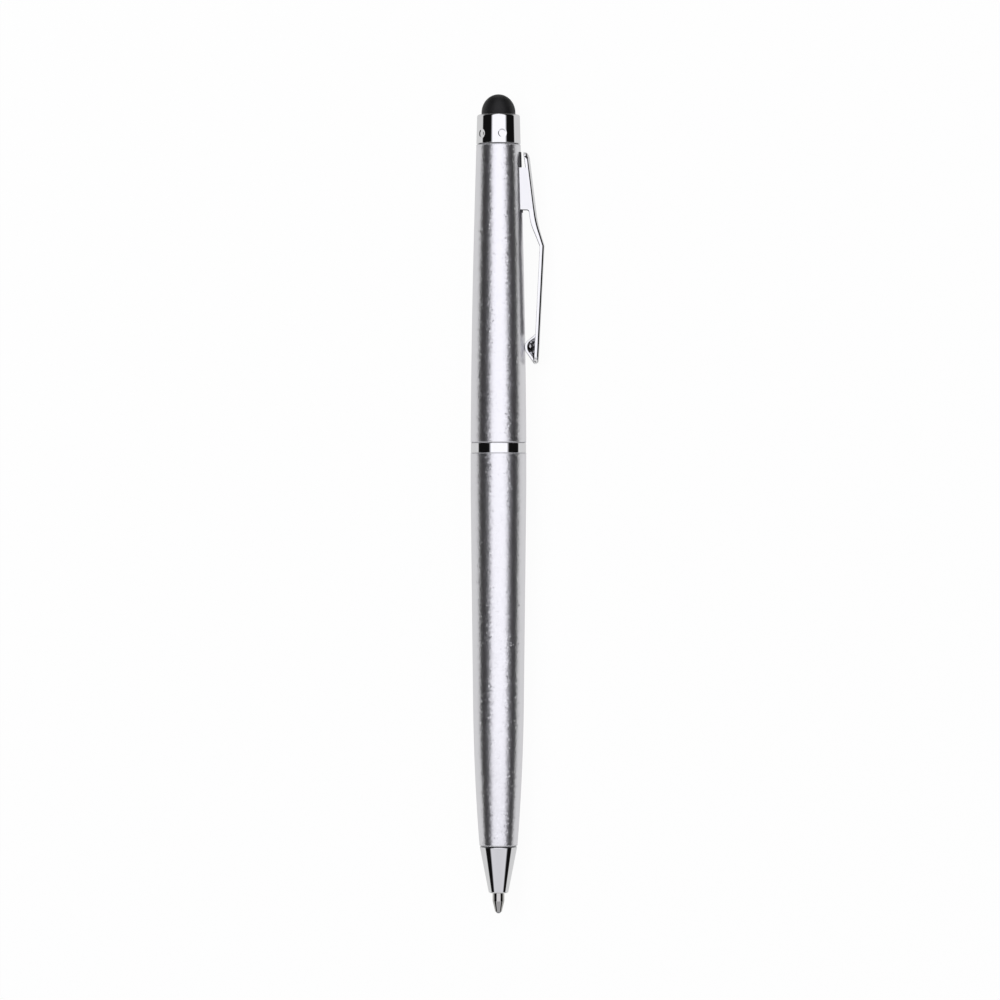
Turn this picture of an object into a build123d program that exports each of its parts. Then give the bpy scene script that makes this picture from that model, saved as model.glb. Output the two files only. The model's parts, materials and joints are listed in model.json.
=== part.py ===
from build123d import *
from math import asin, atan2, cos, degrees, hypot, pi, sqrt
import os

# Twist-action ballpoint pen with a soft stylus dome, in millimetres.
# Every piece is modelled upright: Z is the pen's axis from nib to stylus, zero is the middle of
# the centre ring, and the pocket clip is on the +X side. The finished pieces are then laid on
# the table, which the barrel and the clip touch.

# Lengths along the pen
DOME_HEIGHT = 3.5
COLLAR_LENGTH = 5.06
UPPER_BARREL_LENGTH = 51.04
RING_LENGTH = 1.7
LOWER_BARREL_LENGTH = 67.15
NOSE_LENGTH = 8.03
NIB_REACH = 3.52

# Outside diameters
COLLAR_TOP_DIAMETER = 7.3
BARREL_TOP_DIAMETER = 7.56
CLIP_SEAT_DIAMETER = 8.26
GRIP_DIAMETER = 9.5
WAIST_DIAMETER = 8.68
BARREL_TIP_DIAMETER = 6.48
NOSE_TOP_DIAMETER = 6.4
NOSE_END_DIAMETER = 3.3

# Shape of the barrels, the ring and the nose
GRIP_LENGTH = 6.35
GRIP_BLEND_RADIUS = 200.0
WAIST_HEIGHT = 24.5
EDGE_BREAK = 0.12
RING_RECESS = 0.03
NOSE_END_ROUND = 0.3
TOP_WALL = 0.48
WAIST_WALL = 0.44
TIP_WALL = 0.6

# Clearances: pieces that turn or slide, pieces that are pressed together, and end play
RUN = 0.05
SEAT = 0.02
END_PLAY = 0.06

# Stylus dome, its collar and the core that carries them
COLLAR_WALL = 0.52
COLLAR_SHOULDER = 0.65
LIP_HOLD = 0.23
LIP_THICKNESS = 0.6
DOME_STRAIGHT = 0.35
RUBBER_WALL = 0.93
CORE_FLANGE_HEIGHT = 2.3
CORE_DEPTH = 14.0
CRIMP_GROOVE_DEPTH = 0.3
CRIMP_GROOVE_WIDTH = 0.8
DIMPLE_COUNT = 6
DIMPLE_HEIGHT = 1.71
DIMPLE_DIAMETER = 1.56
DIMPLE_FLOOR_DIAMETER = 1.0
DIMPLE_DEPTH = 0.2
DIMPLE_PHASE = -80.3

# Pocket clip: drops are measured down from its top, stand-offs out from the barrel
CLIP_TOP_DROP = 1.34
CLIP_LENGTH = 36.2
CLIP_WIDTH = 3.2
CLIP_THICKNESS = 0.4
CLIP_WALL_DEPTH = 0.8
CLIP_END_ROUND = 1.3
CLIP_TOP_STANDOFF = 1.41
CLIP_KNEE_DROP = 12.25
CLIP_KNEE_STANDOFF = 2.58
CLIP_KNEE_RADIUS = 20.0
CLIP_BEND_DROP = 16.05
CLIP_BEND_STANDOFF = 3.616
CLIP_BEND_RADIUS = 1.0
CLIP_END_STANDOFF = 2.226
CLIP_FOOT_DROP = 2.7
CLIP_FOOT_LENGTH = 7.15
CLIP_FOOT_ROUND = 0.6
CLIP_EDGE_ROUND = 0.45
BRIDGE_DROP = 0.3
BRIDGE_LENGTH = 1.6
BOSS_LENGTH = 5.12
BOSS_SHOULDER = 3.62
BOSS_HEEL = 2.4
BOSS_ROUND = 1.6
BOSS_WIDTH = 2.6
BOSS_RIM = 0.36
BOSS_HOLLOW = 0.3
BOSS_GAP = 0.05

# Slot in the barrel and the key that holds the clip's foot
SLOT_END_PLAY = 0.5
SLOT_SIDE_PLAY = 0.06
SLOT_CORNER = 0.35
CLIP_SEAT_MARGIN = 1.2
ANCHOR_DEPTH = 1.1
ANCHOR_WIDTH = 4.8
ANCHOR_OVERLAP = 0.5
ANCHOR_PROUD = 0.1
FOOT_PLAY = 0.15
BRIDGE_PLAY = 0.3

# Twist mechanism
LIFT = 5.0
BUSH_DEPTH = 8.2
BUSH_STEP = 0.28
JOURNAL_LENGTH = 4.65
JOURNAL_RELIEF = 0.7
FRICTION_RING_THICKNESS = 0.5
DRIVE_WALL = 0.31
DRIVE_MARGIN = 1.0
DRIVE_LENGTH = 14.0
DRIVE_SPLIT = 0.8
CAM_WALL = 0.45
CAM_LOW_MARGIN = 4.4
CAM_HIGH_MARGIN = 9.4
GUIDE_WALL = 0.5
GUIDE_TAIL = 2.6
SNAP_RING_THICKNESS = 0.45
SNAP_GROOVE_DEPTH = 0.2
SNAP_RING_WIDTH = 0.6
SNAP_RING_GAP = 2.2
PIN_DIAMETER = 0.9
PIN_PLAY = 0.06
PLUNGER_BELOW_PIN = 6.0
PLUNGER_ABOVE_PIN = 4.0
PLUNGER_CHAMFER = 0.4

# Refill and its return spring
SOCKET_DEPTH = 4.0
SOCKET_WALL = 0.36
TUBE_WALL = 0.3
PLUG_HEAD_LENGTH = 2.9
PLUG_SHANK_LENGTH = 3.5
PLUG_VENT_DIAMETER = 0.6
INK_LEVEL = 44.0
STEM_DIAMETER = 2.02
STEM_PLAY = 0.06
FLANGE_LENGTH = 1.0
SHANK_LENGTH = 4.0
FEED_DIAMETER = 0.8
NIB_CONE_LENGTH = 1.82
NIB_FACE_DIAMETER = 1.12
BALL_DIAMETER = 1.0
BALL_PLAY = 0.02
BALL_SHOWS = 0.3
NIB_BORE_LENGTH = 4.15
NOSE_SPIGOT_LENGTH = 8.0
SPRING_LENGTH = 11.0
SPRING_WIRE = 0.35
SPRING_TURNS = 8
SPRING_PLAY = 0.2

# Radii of the outside
COLLAR_TOP_RADIUS = COLLAR_TOP_DIAMETER / 2
BARREL_TOP_RADIUS = BARREL_TOP_DIAMETER / 2
GRIP_RADIUS = GRIP_DIAMETER / 2
WAIST_RADIUS = WAIST_DIAMETER / 2
BARREL_TIP_RADIUS = BARREL_TIP_DIAMETER / 2
NOSE_TOP_RADIUS = NOSE_TOP_DIAMETER / 2
NOSE_END_RADIUS = NOSE_END_DIAMETER / 2

# Radii of the mechanism, worked inwards from the upper barrel's bore to the refill
UPPER_BORE = BARREL_TOP_RADIUS - TOP_WALL
DRIVE_RADIUS = UPPER_BORE - SEAT
CAM_RADIUS = DRIVE_RADIUS - DRIVE_WALL - SEAT
CAM_BORE = CAM_RADIUS - CAM_WALL
GUIDE_RADIUS = CAM_BORE - RUN
GUIDE_BORE = GUIDE_RADIUS - GUIDE_WALL
PLUNGER_RADIUS = GUIDE_BORE - RUN
SOCKET_BORE = PLUNGER_RADIUS - SOCKET_WALL
TUBE_RADIUS = SOCKET_BORE - SEAT
TUBE_BORE = TUBE_RADIUS - TUBE_WALL
PIN_RADIUS = PIN_DIAMETER / 2
PIN_SLOT_WIDTH = PIN_DIAMETER + 2 * PIN_PLAY

# Radii of the joint between the two barrels, worked inwards from the lower barrel
LOWER_BORE = WAIST_RADIUS - WAIST_WALL
BUSH_RADIUS = LOWER_BORE - SEAT
JOURNAL_RADIUS = BUSH_RADIUS - BUSH_STEP
JOURNAL_BORE = JOURNAL_RADIUS + RUN
FRICTION_RING_RADIUS = JOURNAL_BORE - SEAT - FRICTION_RING_THICKNESS / 2

# Radii in the nose, worked outwards from the refill's stem
STEM_RADIUS = STEM_DIAMETER / 2
BALL_RADIUS = BALL_DIAMETER / 2
SPRING_RADIUS = STEM_RADIUS + SPRING_PLAY + SPRING_WIRE / 2
FLANGE_RADIUS = SPRING_RADIUS + SPRING_WIRE
CHAMBER_RADIUS = FLANGE_RADIUS + SPRING_PLAY
NOSE_SEAT_BORE = BARREL_TIP_RADIUS - TIP_WALL

# Radii in the stylus end, worked inwards from the collar
COLLAR_BORE = COLLAR_TOP_RADIUS - COLLAR_WALL
DOME_RADIUS = COLLAR_BORE - LIP_HOLD
DOME_BORE = DOME_RADIUS - RUBBER_WALL

# Heights on the pen's axis
RING_TOP = RING_LENGTH / 2
RING_BASE = -RING_TOP
BARREL_TOP = RING_TOP + UPPER_BARREL_LENGTH
COLLAR_TOP = BARREL_TOP + COLLAR_LENGTH
LIP_BASE = COLLAR_TOP - LIP_THICKNESS
DOME_BASE = COLLAR_TOP + DOME_STRAIGHT
DOME_TOP = COLLAR_TOP + DOME_HEIGHT
CORE_FLANGE_TOP = BARREL_TOP + CORE_FLANGE_HEIGHT
CORE_BASE = BARREL_TOP - CORE_DEPTH
BARREL_TIP = RING_BASE - LOWER_BARREL_LENGTH
NOSE_END = BARREL_TIP - NOSE_LENGTH
NIB_END = NOSE_END - NIB_REACH
GRIP_BASE = RING_BASE - GRIP_LENGTH
WAIST = BARREL_TIP + WAIST_HEIGHT
BUSH_TOP = RING_TOP + JOURNAL_LENGTH
BUSH_BASE = RING_BASE - BUSH_DEPTH
UPPER_BORE_BASE = BUSH_TOP + JOURNAL_RELIEF
CAM_BASE = BUSH_TOP + END_PLAY
PIN_OUT = CAM_BASE + CAM_LOW_MARGIN
CAM_TOP = PIN_OUT + LIFT + CAM_HIGH_MARGIN
SNAP_RING_BASE = CAM_TOP + END_PLAY
GUIDE_TOP = SNAP_RING_BASE + GUIDE_TAIL
SOCKET_TOP = PIN_OUT - PLUNGER_BELOW_PIN + SOCKET_DEPTH
TUBE_TOP = SOCKET_TOP - SEAT - PLUG_HEAD_LENGTH
SPRING_SEAT = NOSE_END + NIB_BORE_LENGTH
NOSE_SPIGOT_TOP = BARREL_TIP + NOSE_SPIGOT_LENGTH
FLANGE_BASE = SPRING_SEAT + SPRING_LENGTH
TUBE_BASE = FLANGE_BASE + FLANGE_LENGTH
BALL_CENTRE = NIB_END + BALL_RADIUS
NIB_FACE = NIB_END + BALL_SHOWS

# Heights on the clip and its slot
CLIP_TOP = BARREL_TOP - CLIP_TOP_DROP
CLIP_END = CLIP_TOP - CLIP_LENGTH
FOOT_TOP = CLIP_TOP - CLIP_FOOT_DROP
FOOT_BASE = FOOT_TOP - CLIP_FOOT_LENGTH
BRIDGE_TOP = FOOT_TOP - BRIDGE_DROP
BRIDGE_BASE = BRIDGE_TOP - BRIDGE_LENGTH
SLOT_TOP = CLIP_TOP
SLOT_BASE = FOOT_BASE - SLOT_END_PLAY
SLOT_WIDTH = CLIP_WIDTH + 2 * SLOT_SIDE_PLAY
CLIP_SEAT_RADIUS = CLIP_SEAT_DIAMETER / 2
CLIP_SEAT_BASE = SLOT_BASE - CLIP_SEAT_MARGIN
CLIP_SEAT_SLOPE = (CLIP_SEAT_RADIUS - BARREL_TOP_RADIUS) / (BARREL_TOP - CLIP_SEAT_BASE)
UPPER_FOOT = RING_TOP + END_PLAY + EDGE_BREAK
FOOT_INNER = sqrt(UPPER_BORE**2 - (CLIP_WIDTH / 2) ** 2) + SLOT_SIDE_PLAY
ANCHOR_FLOOR = UPPER_BORE - ANCHOR_DEPTH


def upper_barrel_radius(height):
    """Outside radius of the upper barrel at a height: a cone round the slot, a parabola below it."""
    cone = CLIP_SEAT_RADIUS + CLIP_SEAT_SLOPE * (CLIP_SEAT_BASE - height)
    share = max(CLIP_SEAT_BASE - height, 0) / (CLIP_SEAT_BASE - UPPER_FOOT)
    cone_foot = CLIP_SEAT_RADIUS + CLIP_SEAT_SLOPE * (CLIP_SEAT_BASE - UPPER_FOOT)
    return cone - (cone_foot - GRIP_RADIUS) * share**2


CLIP_KNEE = CLIP_TOP - CLIP_KNEE_DROP
CLIP_BEND = CLIP_TOP - CLIP_BEND_DROP
CLIP_BEND_REACH = upper_barrel_radius(CLIP_BEND) + CLIP_BEND_STANDOFF
CLIP_LINE = [
    (upper_barrel_radius(CLIP_TOP) + CLIP_TOP_STANDOFF, CLIP_TOP),
    (upper_barrel_radius(CLIP_KNEE) + CLIP_KNEE_STANDOFF, CLIP_KNEE),
    (CLIP_BEND_REACH, CLIP_BEND),
    (upper_barrel_radius(CLIP_END) + CLIP_END_STANDOFF, CLIP_END),
]
CLIP_WALL_EDGE = CLIP_LINE[-1][0] - CLIP_WALL_DEPTH

# The pen rolls until the rounded corner of the clip's bend meets the table
CORNER_REACH = CLIP_BEND_REACH - CLIP_EDGE_ROUND
CORNER_SIDE = CLIP_WIDTH / 2 - CLIP_EDGE_ROUND
CORNER_SINE = (GRIP_RADIUS - CLIP_EDGE_ROUND) / hypot(CORNER_REACH, CORNER_SIDE)
ROLL = degrees(asin(CORNER_SINE) - atan2(CORNER_SIDE, CORNER_REACH))
LIE_DOWN = Pos(0, 0, GRIP_RADIUS) * Rot(Y=ROLL) * Rot(X=-90)


def turned(*outline):
    """Solid of revolution about the pen's axis, from a closed half section of (radius, height)."""
    return revolve(Plane.XZ * make_face(outline), Axis.Z)


def sleeve(bore, radius, low, high):
    """Plain tube on the pen's axis."""
    return turned(Polyline((bore, low), (radius, low), (radius, high), (bore, high), close=True))


def rod(radius, low, high):
    """Plain solid cylinder on the pen's axis."""
    return sleeve(0, radius, low, high)


def side_plane(height):
    """Plane through the axis that faces the clip's side, with its own x along the pen."""
    return Plane(origin=(0, 0, height), x_dir=(0, 0, 1), z_dir=(1, 0, 0))


def box_between(low, high):
    """Box with the two given opposite corners."""
    size = [abs(end - start) for start, end in zip(low, high)]
    return Pos((Vector(low) + Vector(high)) / 2) * Box(*size)


def cross_hole(radius, height, reach, angle):
    """Radial cylinder from the axis outwards, at an angle round the pen."""
    cylinder = extrude(side_plane(height) * Circle(radius), amount=reach)
    return Rot(Z=angle) * cylinder


def upper_barrel():
    """Tube that swells to a plain cone, which has the slot for the clip's foot."""
    low = UPPER_FOOT - EDGE_BREAK
    start = (GRIP_RADIUS, UPPER_FOOT)
    seat = (CLIP_SEAT_RADIUS, CLIP_SEAT_BASE)
    half_run = (CLIP_SEAT_BASE - UPPER_FOOT) / 2
    pull = (CLIP_SEAT_RADIUS + CLIP_SEAT_SLOPE * half_run, CLIP_SEAT_BASE - half_run)
    swell = Bezier(start, pull, seat)
    cone_top = BARREL_TOP - EDGE_BREAK
    inside = Polyline(
        seat,
        (upper_barrel_radius(cone_top), cone_top),
        (BARREL_TOP_RADIUS - EDGE_BREAK, BARREL_TOP),
        (UPPER_BORE, BARREL_TOP),
        (UPPER_BORE, UPPER_BORE_BASE),
        (JOURNAL_BORE, UPPER_BORE_BASE),
        (JOURNAL_BORE, low),
        (GRIP_RADIUS - EDGE_BREAK, low),
        start,
    )
    return turned(swell, inside) - slot_prism(0)


def slot_prism(inset):
    """Prism of the slot in the barrel's wall, drawn in all round by an inset."""
    outline = RectangleRounded(SLOT_TOP - SLOT_BASE - 2 * inset, SLOT_WIDTH - 2 * inset, SLOT_CORNER)
    return extrude(side_plane((SLOT_TOP + SLOT_BASE) / 2) * outline, amount=CLIP_BEND_REACH)


def lower_barrel():
    """Straight grip, then a slow cone to the waist, then a bullet-shaped end."""
    grip = FilletPolyline(
        (GRIP_RADIUS - EDGE_BREAK, RING_BASE),
        (GRIP_RADIUS, RING_BASE - EDGE_BREAK),
        (GRIP_RADIUS, GRIP_BASE),
        (WAIST_RADIUS, WAIST),
        radius=[0, GRIP_BLEND_RADIUS],
    )
    tip = (BARREL_TIP_RADIUS, BARREL_TIP + EDGE_BREAK)
    bullet = TangentArc(grip @ 1, tip, tangent=grip % 1)
    inside = Polyline(
        tip,
        (BARREL_TIP_RADIUS - EDGE_BREAK, BARREL_TIP),
        (NOSE_SEAT_BORE, BARREL_TIP),
        (NOSE_SEAT_BORE, NOSE_SPIGOT_TOP),
        (LOWER_BORE, WAIST),
        (LOWER_BORE, RING_BASE),
        grip @ 0,
    )
    return turned(grip, bullet, inside)


def center_ring():
    radius = GRIP_RADIUS - RING_RECESS
    bore = JOURNAL_RADIUS + SEAT
    return turned(
        Polyline(
            (bore, RING_BASE),
            (radius - EDGE_BREAK, RING_BASE),
            (radius, RING_BASE + EDGE_BREAK),
            (radius, RING_TOP - EDGE_BREAK),
            (radius - EDGE_BREAK, RING_TOP),
            (bore, RING_TOP),
            close=True,
        )
    )


def barrel_bush():
    """Plug in the lower barrel with the journal on which the upper barrel turns."""
    bore = GUIDE_RADIUS + SEAT
    groove_middle = (RING_TOP + BUSH_TOP) / 2
    groove_half = FRICTION_RING_THICKNESS / 2 + RUN
    groove_floor = FRICTION_RING_RADIUS - FRICTION_RING_THICKNESS / 2 - SEAT
    body = sleeve(bore, BUSH_RADIUS, BUSH_BASE, RING_BASE)
    body += sleeve(bore, JOURNAL_RADIUS, RING_BASE, BUSH_TOP)
    groove = sleeve(groove_floor, BUSH_RADIUS, groove_middle - groove_half, groove_middle + groove_half)
    return body - groove


def friction_ring():
    height = (RING_TOP + BUSH_TOP) / 2
    return Pos(0, 0, height) * Torus(FRICTION_RING_RADIUS, FRICTION_RING_THICKNESS / 2)


def guide_tube():
    """Tube with two straight slots that keep the cross pin from turning."""
    tube = sleeve(GUIDE_BORE, GUIDE_RADIUS, BUSH_BASE, GUIDE_TOP)
    slot = SlotOverall(LIFT + PIN_SLOT_WIDTH, PIN_SLOT_WIDTH)
    tube -= extrude(side_plane(PIN_OUT + LIFT / 2) * slot, amount=CAM_BORE, both=True)
    groove_top = SNAP_RING_BASE + SNAP_RING_THICKNESS + SEAT
    return tube - sleeve(GUIDE_RADIUS - SNAP_GROOVE_DEPTH, CAM_BORE, SNAP_RING_BASE - SEAT, groove_top)


def retaining_ring():
    """Open snap ring in the guide tube's groove."""
    bore = GUIDE_RADIUS - SNAP_GROOVE_DEPTH + SEAT
    ring = sleeve(bore, bore + SNAP_RING_WIDTH, SNAP_RING_BASE, SNAP_RING_BASE + SNAP_RING_THICKNESS)
    half_gap = SNAP_RING_GAP / 2
    return ring - box_between((-half_gap, 0, SNAP_RING_BASE), (half_gap, CAM_RADIUS, GUIDE_TOP))


def helical_slot(angle):
    """Cutter for one half-turn cam slot: a radial blade swept up a helix, with round ends."""
    pitch = 2 * LIFT
    slope = atan2(pitch, 2 * pi * CAM_BORE)
    middle = CAM_BORE + CAM_WALL / 2
    blade = Pos(middle, PIN_OUT) * Rectangle(2 * CAM_WALL, PIN_SLOT_WIDTH / cos(slope))
    path = Helix(pitch, LIFT, middle, center=(0, 0, PIN_OUT))
    slot = sweep(Plane.XZ * blade, path, is_frenet=True)
    slot += cross_hole(PIN_SLOT_WIDTH / 2, PIN_OUT, DRIVE_RADIUS, 0)
    slot += cross_hole(PIN_SLOT_WIDTH / 2, PIN_OUT + LIFT, DRIVE_RADIUS, 180)
    return Rot(Z=angle) * slot


def cam_sleeve():
    """Sleeve with two helical slots that lift the cross pin as it turns."""
    body = sleeve(CAM_BORE, CAM_RADIUS, CAM_BASE, CAM_TOP)
    for angle in (0, 180):
        body -= helical_slot(angle)
    return body


def drive_sleeve():
    """Split bush pressed between the cam sleeve and the upper barrel."""
    low = UPPER_BORE_BASE + DRIVE_MARGIN
    high = low + DRIVE_LENGTH
    half_split = DRIVE_SPLIT / 2
    split_line = box_between((-half_split, 0, low), (half_split, UPPER_BORE, high))
    return sleeve(CAM_RADIUS + SEAT, DRIVE_RADIUS, low, high) - split_line


def plunger():
    """Slider that holds the end of the refill and carries the cross pin."""
    low = PIN_OUT - PLUNGER_BELOW_PIN
    high = PIN_OUT + PLUNGER_ABOVE_PIN
    body = turned(
        Polyline(
            (SOCKET_BORE, low),
            (PLUNGER_RADIUS, low),
            (PLUNGER_RADIUS, high - PLUNGER_CHAMFER),
            (PLUNGER_RADIUS - PLUNGER_CHAMFER, high),
            (0, high),
            (0, SOCKET_TOP),
            (SOCKET_BORE, SOCKET_TOP),
            close=True,
        )
    )
    for angle in (0, 180):
        body -= cross_hole(PIN_RADIUS + SEAT, PIN_OUT, CAM_RADIUS, angle)
    return body


def cam_pin():
    pin = Circle(PIN_RADIUS)
    return extrude(side_plane(PIN_OUT) * pin, amount=CAM_RADIUS - RUN, both=True)


def refill_tube():
    return sleeve(TUBE_BORE, TUBE_RADIUS, TUBE_BASE, TUBE_TOP)


def refill_plug():
    """End plug with a vent, half in the tube and half in the plunger's socket."""
    plug = rod(TUBE_RADIUS, TUBE_TOP, TUBE_TOP + PLUG_HEAD_LENGTH)
    plug += rod(TUBE_BORE - SEAT, TUBE_TOP - PLUG_SHANK_LENGTH, TUBE_TOP)
    return plug - rod(PLUG_VENT_DIAMETER / 2, TUBE_TOP - PLUG_SHANK_LENGTH, SOCKET_TOP)


def ink_column():
    low = TUBE_BASE + SHANK_LENGTH + SEAT
    return rod(TUBE_BORE - SEAT, low, low + INK_LEVEL)


def refill_tip():
    """Turned writing tip: shank in the tube, flange for the spring, stem, cone and ball socket."""
    shank = TUBE_BORE - SEAT
    body = turned(
        Polyline(
            (0, TUBE_BASE + SHANK_LENGTH),
            (shank, TUBE_BASE + SHANK_LENGTH),
            (shank, TUBE_BASE),
            (FLANGE_RADIUS, TUBE_BASE),
            (FLANGE_RADIUS, FLANGE_BASE),
            (STEM_RADIUS, FLANGE_BASE),
            (STEM_RADIUS, NIB_FACE + NIB_CONE_LENGTH),
            (NIB_FACE_DIAMETER / 2, NIB_FACE),
            (0, NIB_FACE),
            close=True,
        )
    )
    body -= rod(FEED_DIAMETER / 2, BALL_CENTRE, TUBE_BASE + SHANK_LENGTH)
    return body - Pos(0, 0, BALL_CENTRE) * Sphere(BALL_RADIUS + BALL_PLAY)


def refill_ball():
    return Pos(0, 0, BALL_CENTRE) * Sphere(BALL_RADIUS)


def return_spring():
    """Coil spring between the nose's seat and the refill's flange."""
    rise = SPRING_LENGTH - SPRING_WIRE - 2 * SEAT
    low = SPRING_SEAT + SPRING_WIRE / 2 + SEAT
    path = Helix(rise / SPRING_TURNS, rise, SPRING_RADIUS, center=(0, 0, low))
    wire = Plane(origin=path @ 0, z_dir=path % 0) * Circle(SPRING_WIRE / 2)
    return sweep(wire, path, is_frenet=True)


def nose_cone():
    """Cone with a spigot in the lower barrel, a chamber for the spring and a bore for the nib."""
    slope = (NOSE_TOP_RADIUS - NOSE_END_RADIUS) / NOSE_LENGTH
    bore = STEM_RADIUS + STEM_PLAY
    round_start = (NOSE_END_RADIUS + slope * NOSE_END_ROUND, NOSE_END + NOSE_END_ROUND)
    round_end = (NOSE_END_RADIUS - NOSE_END_ROUND, NOSE_END)
    spigot = NOSE_SEAT_BORE - SEAT
    rounding = TangentArc(round_start, round_end, tangent=(-slope, -1))
    rest = Polyline(
        round_end,
        (bore, NOSE_END),
        (bore, SPRING_SEAT),
        (CHAMBER_RADIUS, SPRING_SEAT),
        (CHAMBER_RADIUS, NOSE_SPIGOT_TOP),
        (spigot, NOSE_SPIGOT_TOP),
        (spigot, BARREL_TIP),
        (NOSE_TOP_RADIUS, BARREL_TIP),
        round_start,
    )
    return turned(rounding, rest)


def stylus_collar():
    """Collar with a rounded shoulder and a lip over the dome's skirt, crimped by dimples."""
    lip_bore = DOME_RADIUS + SEAT
    shoulder_start = (COLLAR_TOP_RADIUS, COLLAR_TOP - COLLAR_SHOULDER)
    shoulder_end = (COLLAR_TOP_RADIUS - COLLAR_SHOULDER, COLLAR_TOP)
    shoulder = TangentArc(shoulder_start, shoulder_end, tangent=(0, 1))
    rest = Polyline(
        shoulder_end,
        (lip_bore, COLLAR_TOP),
        (lip_bore, LIP_BASE),
        (COLLAR_BORE, LIP_BASE),
        (COLLAR_BORE, BARREL_TOP),
        (BARREL_TOP_RADIUS - EDGE_BREAK, BARREL_TOP),
        (BARREL_TOP_RADIUS, BARREL_TOP + EDGE_BREAK),
        shoulder_start,
    )
    body = turned(shoulder, rest)
    share = DIMPLE_HEIGHT / COLLAR_LENGTH
    wall_radius = BARREL_TOP_RADIUS + (COLLAR_TOP_RADIUS - BARREL_TOP_RADIUS) * share
    flare = (DIMPLE_DIAMETER - DIMPLE_FLOOR_DIAMETER) / 2
    punch = Cone(DIMPLE_FLOOR_DIAMETER / 2, DIMPLE_DIAMETER / 2 + flare, 2 * DIMPLE_DEPTH)
    for number in range(DIMPLE_COUNT):
        angle = DIMPLE_PHASE + number * 360 / DIMPLE_COUNT
        body -= Rot(Z=angle) * Pos(wall_radius, 0, BARREL_TOP + DIMPLE_HEIGHT) * Rot(Y=90) * punch
    return body


def dome_line(radius, crown):
    """Quarter of an ellipse over the dome's straight foot, from its edge to a crown on the axis."""
    fullness = 4 * (sqrt(2) - 1) / 3
    return Bezier(
        (radius, DOME_BASE),
        (radius, DOME_BASE + fullness * (crown - DOME_BASE)),
        (fullness * radius, crown),
        (0, crown),
    )


def stylus_tip():
    """Hollow rubber dome with a skirt that the collar's lip holds down."""
    skirt = COLLAR_BORE - SEAT
    skirt_top = LIP_BASE - SEAT
    skirt_base = CORE_FLANGE_TOP + SEAT
    outside = dome_line(DOME_RADIUS, DOME_TOP)
    inside = dome_line(DOME_BORE, DOME_TOP - RUBBER_WALL)
    foot = Polyline(
        outside @ 0,
        (DOME_RADIUS, skirt_top),
        (skirt, skirt_top),
        (skirt, skirt_base),
        (DOME_BORE, skirt_base),
        inside @ 0,
    )
    return turned(outside, foot, inside, Line(inside @ 1, outside @ 1))


def stylus_core():
    """Plug in the barrel's top, with a crimped flange and the stub that the dome fits over."""
    flange = COLLAR_BORE - SEAT
    groove_middle = BARREL_TOP + DIMPLE_HEIGHT
    groove_half = CRIMP_GROOVE_WIDTH / 2
    anchor_top = SLOT_TOP + ANCHOR_OVERLAP + SEAT
    body = rod(UPPER_BORE - SEAT, CORE_BASE, BARREL_TOP)
    body += rod(flange, BARREL_TOP, CORE_FLANGE_TOP)
    body += rod(DOME_BORE - SEAT, CORE_FLANGE_TOP, LIP_BASE)
    groove_floor = flange - CRIMP_GROOVE_DEPTH
    body -= sleeve(groove_floor, COLLAR_TOP_RADIUS, groove_middle - groove_half, groove_middle + groove_half)
    flat = ANCHOR_FLOOR - SEAT
    return body - box_between((flat, -UPPER_BORE, CORE_BASE), (UPPER_BORE, UPPER_BORE, anchor_top))


def clip_outer(inset):
    """Outer line of the clip in its own plane, drawn in by an inset."""
    points = [(reach - inset, height) for reach, height in CLIP_LINE]
    return FilletPolyline(points, radius=[CLIP_KNEE_RADIUS, CLIP_BEND_RADIUS])


def clip_area(inset):
    """Area between the pen's axis and the clip's outer line, drawn in by an inset."""
    outer = clip_outer(inset)
    return make_face([outer, Polyline(outer @ 1, (0, CLIP_END), (0, CLIP_TOP), outer @ 0)])


def on_clip_skin(edge):
    """Whether the middle of an edge lies on the clip's outer skin."""
    middle = edge @ 0.5
    return (Plane.XZ * clip_outer(0)).distance_to(Vertex(middle.X, 0, middle.Z)) < SEAT


def clip_plan(inset):
    """Prism of the clip's outline seen from outside, drawn in all round by an inset."""
    outline = RectangleRounded(
        CLIP_LENGTH - 2 * inset,
        CLIP_WIDTH - 2 * inset,
        CLIP_END_ROUND - inset,
    )
    return extrude(side_plane((CLIP_TOP + CLIP_END) / 2) * outline, amount=2 * CLIP_BEND_REACH)


def clip_prism(area):
    """Area in the clip's own plane, extruded over the clip's width."""
    return extrude(Plane.XZ * area, amount=CLIP_WIDTH / 2, both=True)


def boss_area(back):
    """Area of the boss in the clip's own plane: a rounded crown to the barrel, square at the back."""
    high = CLIP_END + BOSS_LENGTH
    apex = upper_barrel_radius(CLIP_END + BOSS_HEEL) + BOSS_GAP
    crown = FilletPolyline(
        (CLIP_WALL_EDGE, high),
        (apex, CLIP_END + BOSS_SHOULDER),
        (apex, CLIP_END + BOSS_HEEL),
        (CLIP_WALL_EDGE, CLIP_END),
        radius=BOSS_ROUND,
    )
    return make_face([crown, Polyline(crown @ 1, (back, CLIP_END), (back, high), crown @ 0)])


def clip_boss():
    """Boss at the clip's end that presses on the barrel, with a shallow hollow in each side."""
    body = extrude(Plane.XZ * boss_area(CLIP_BEND_REACH), amount=BOSS_WIDTH / 2, both=True)
    hollow = offset(boss_area(CLIP_WALL_EDGE + BOSS_RIM), -BOSS_RIM)
    for side in (-1, 1):
        face = Plane.XZ.offset(side * BOSS_WIDTH / 2) * hollow
        body -= extrude(face, amount=BOSS_HOLLOW, both=True)
    return body


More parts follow.
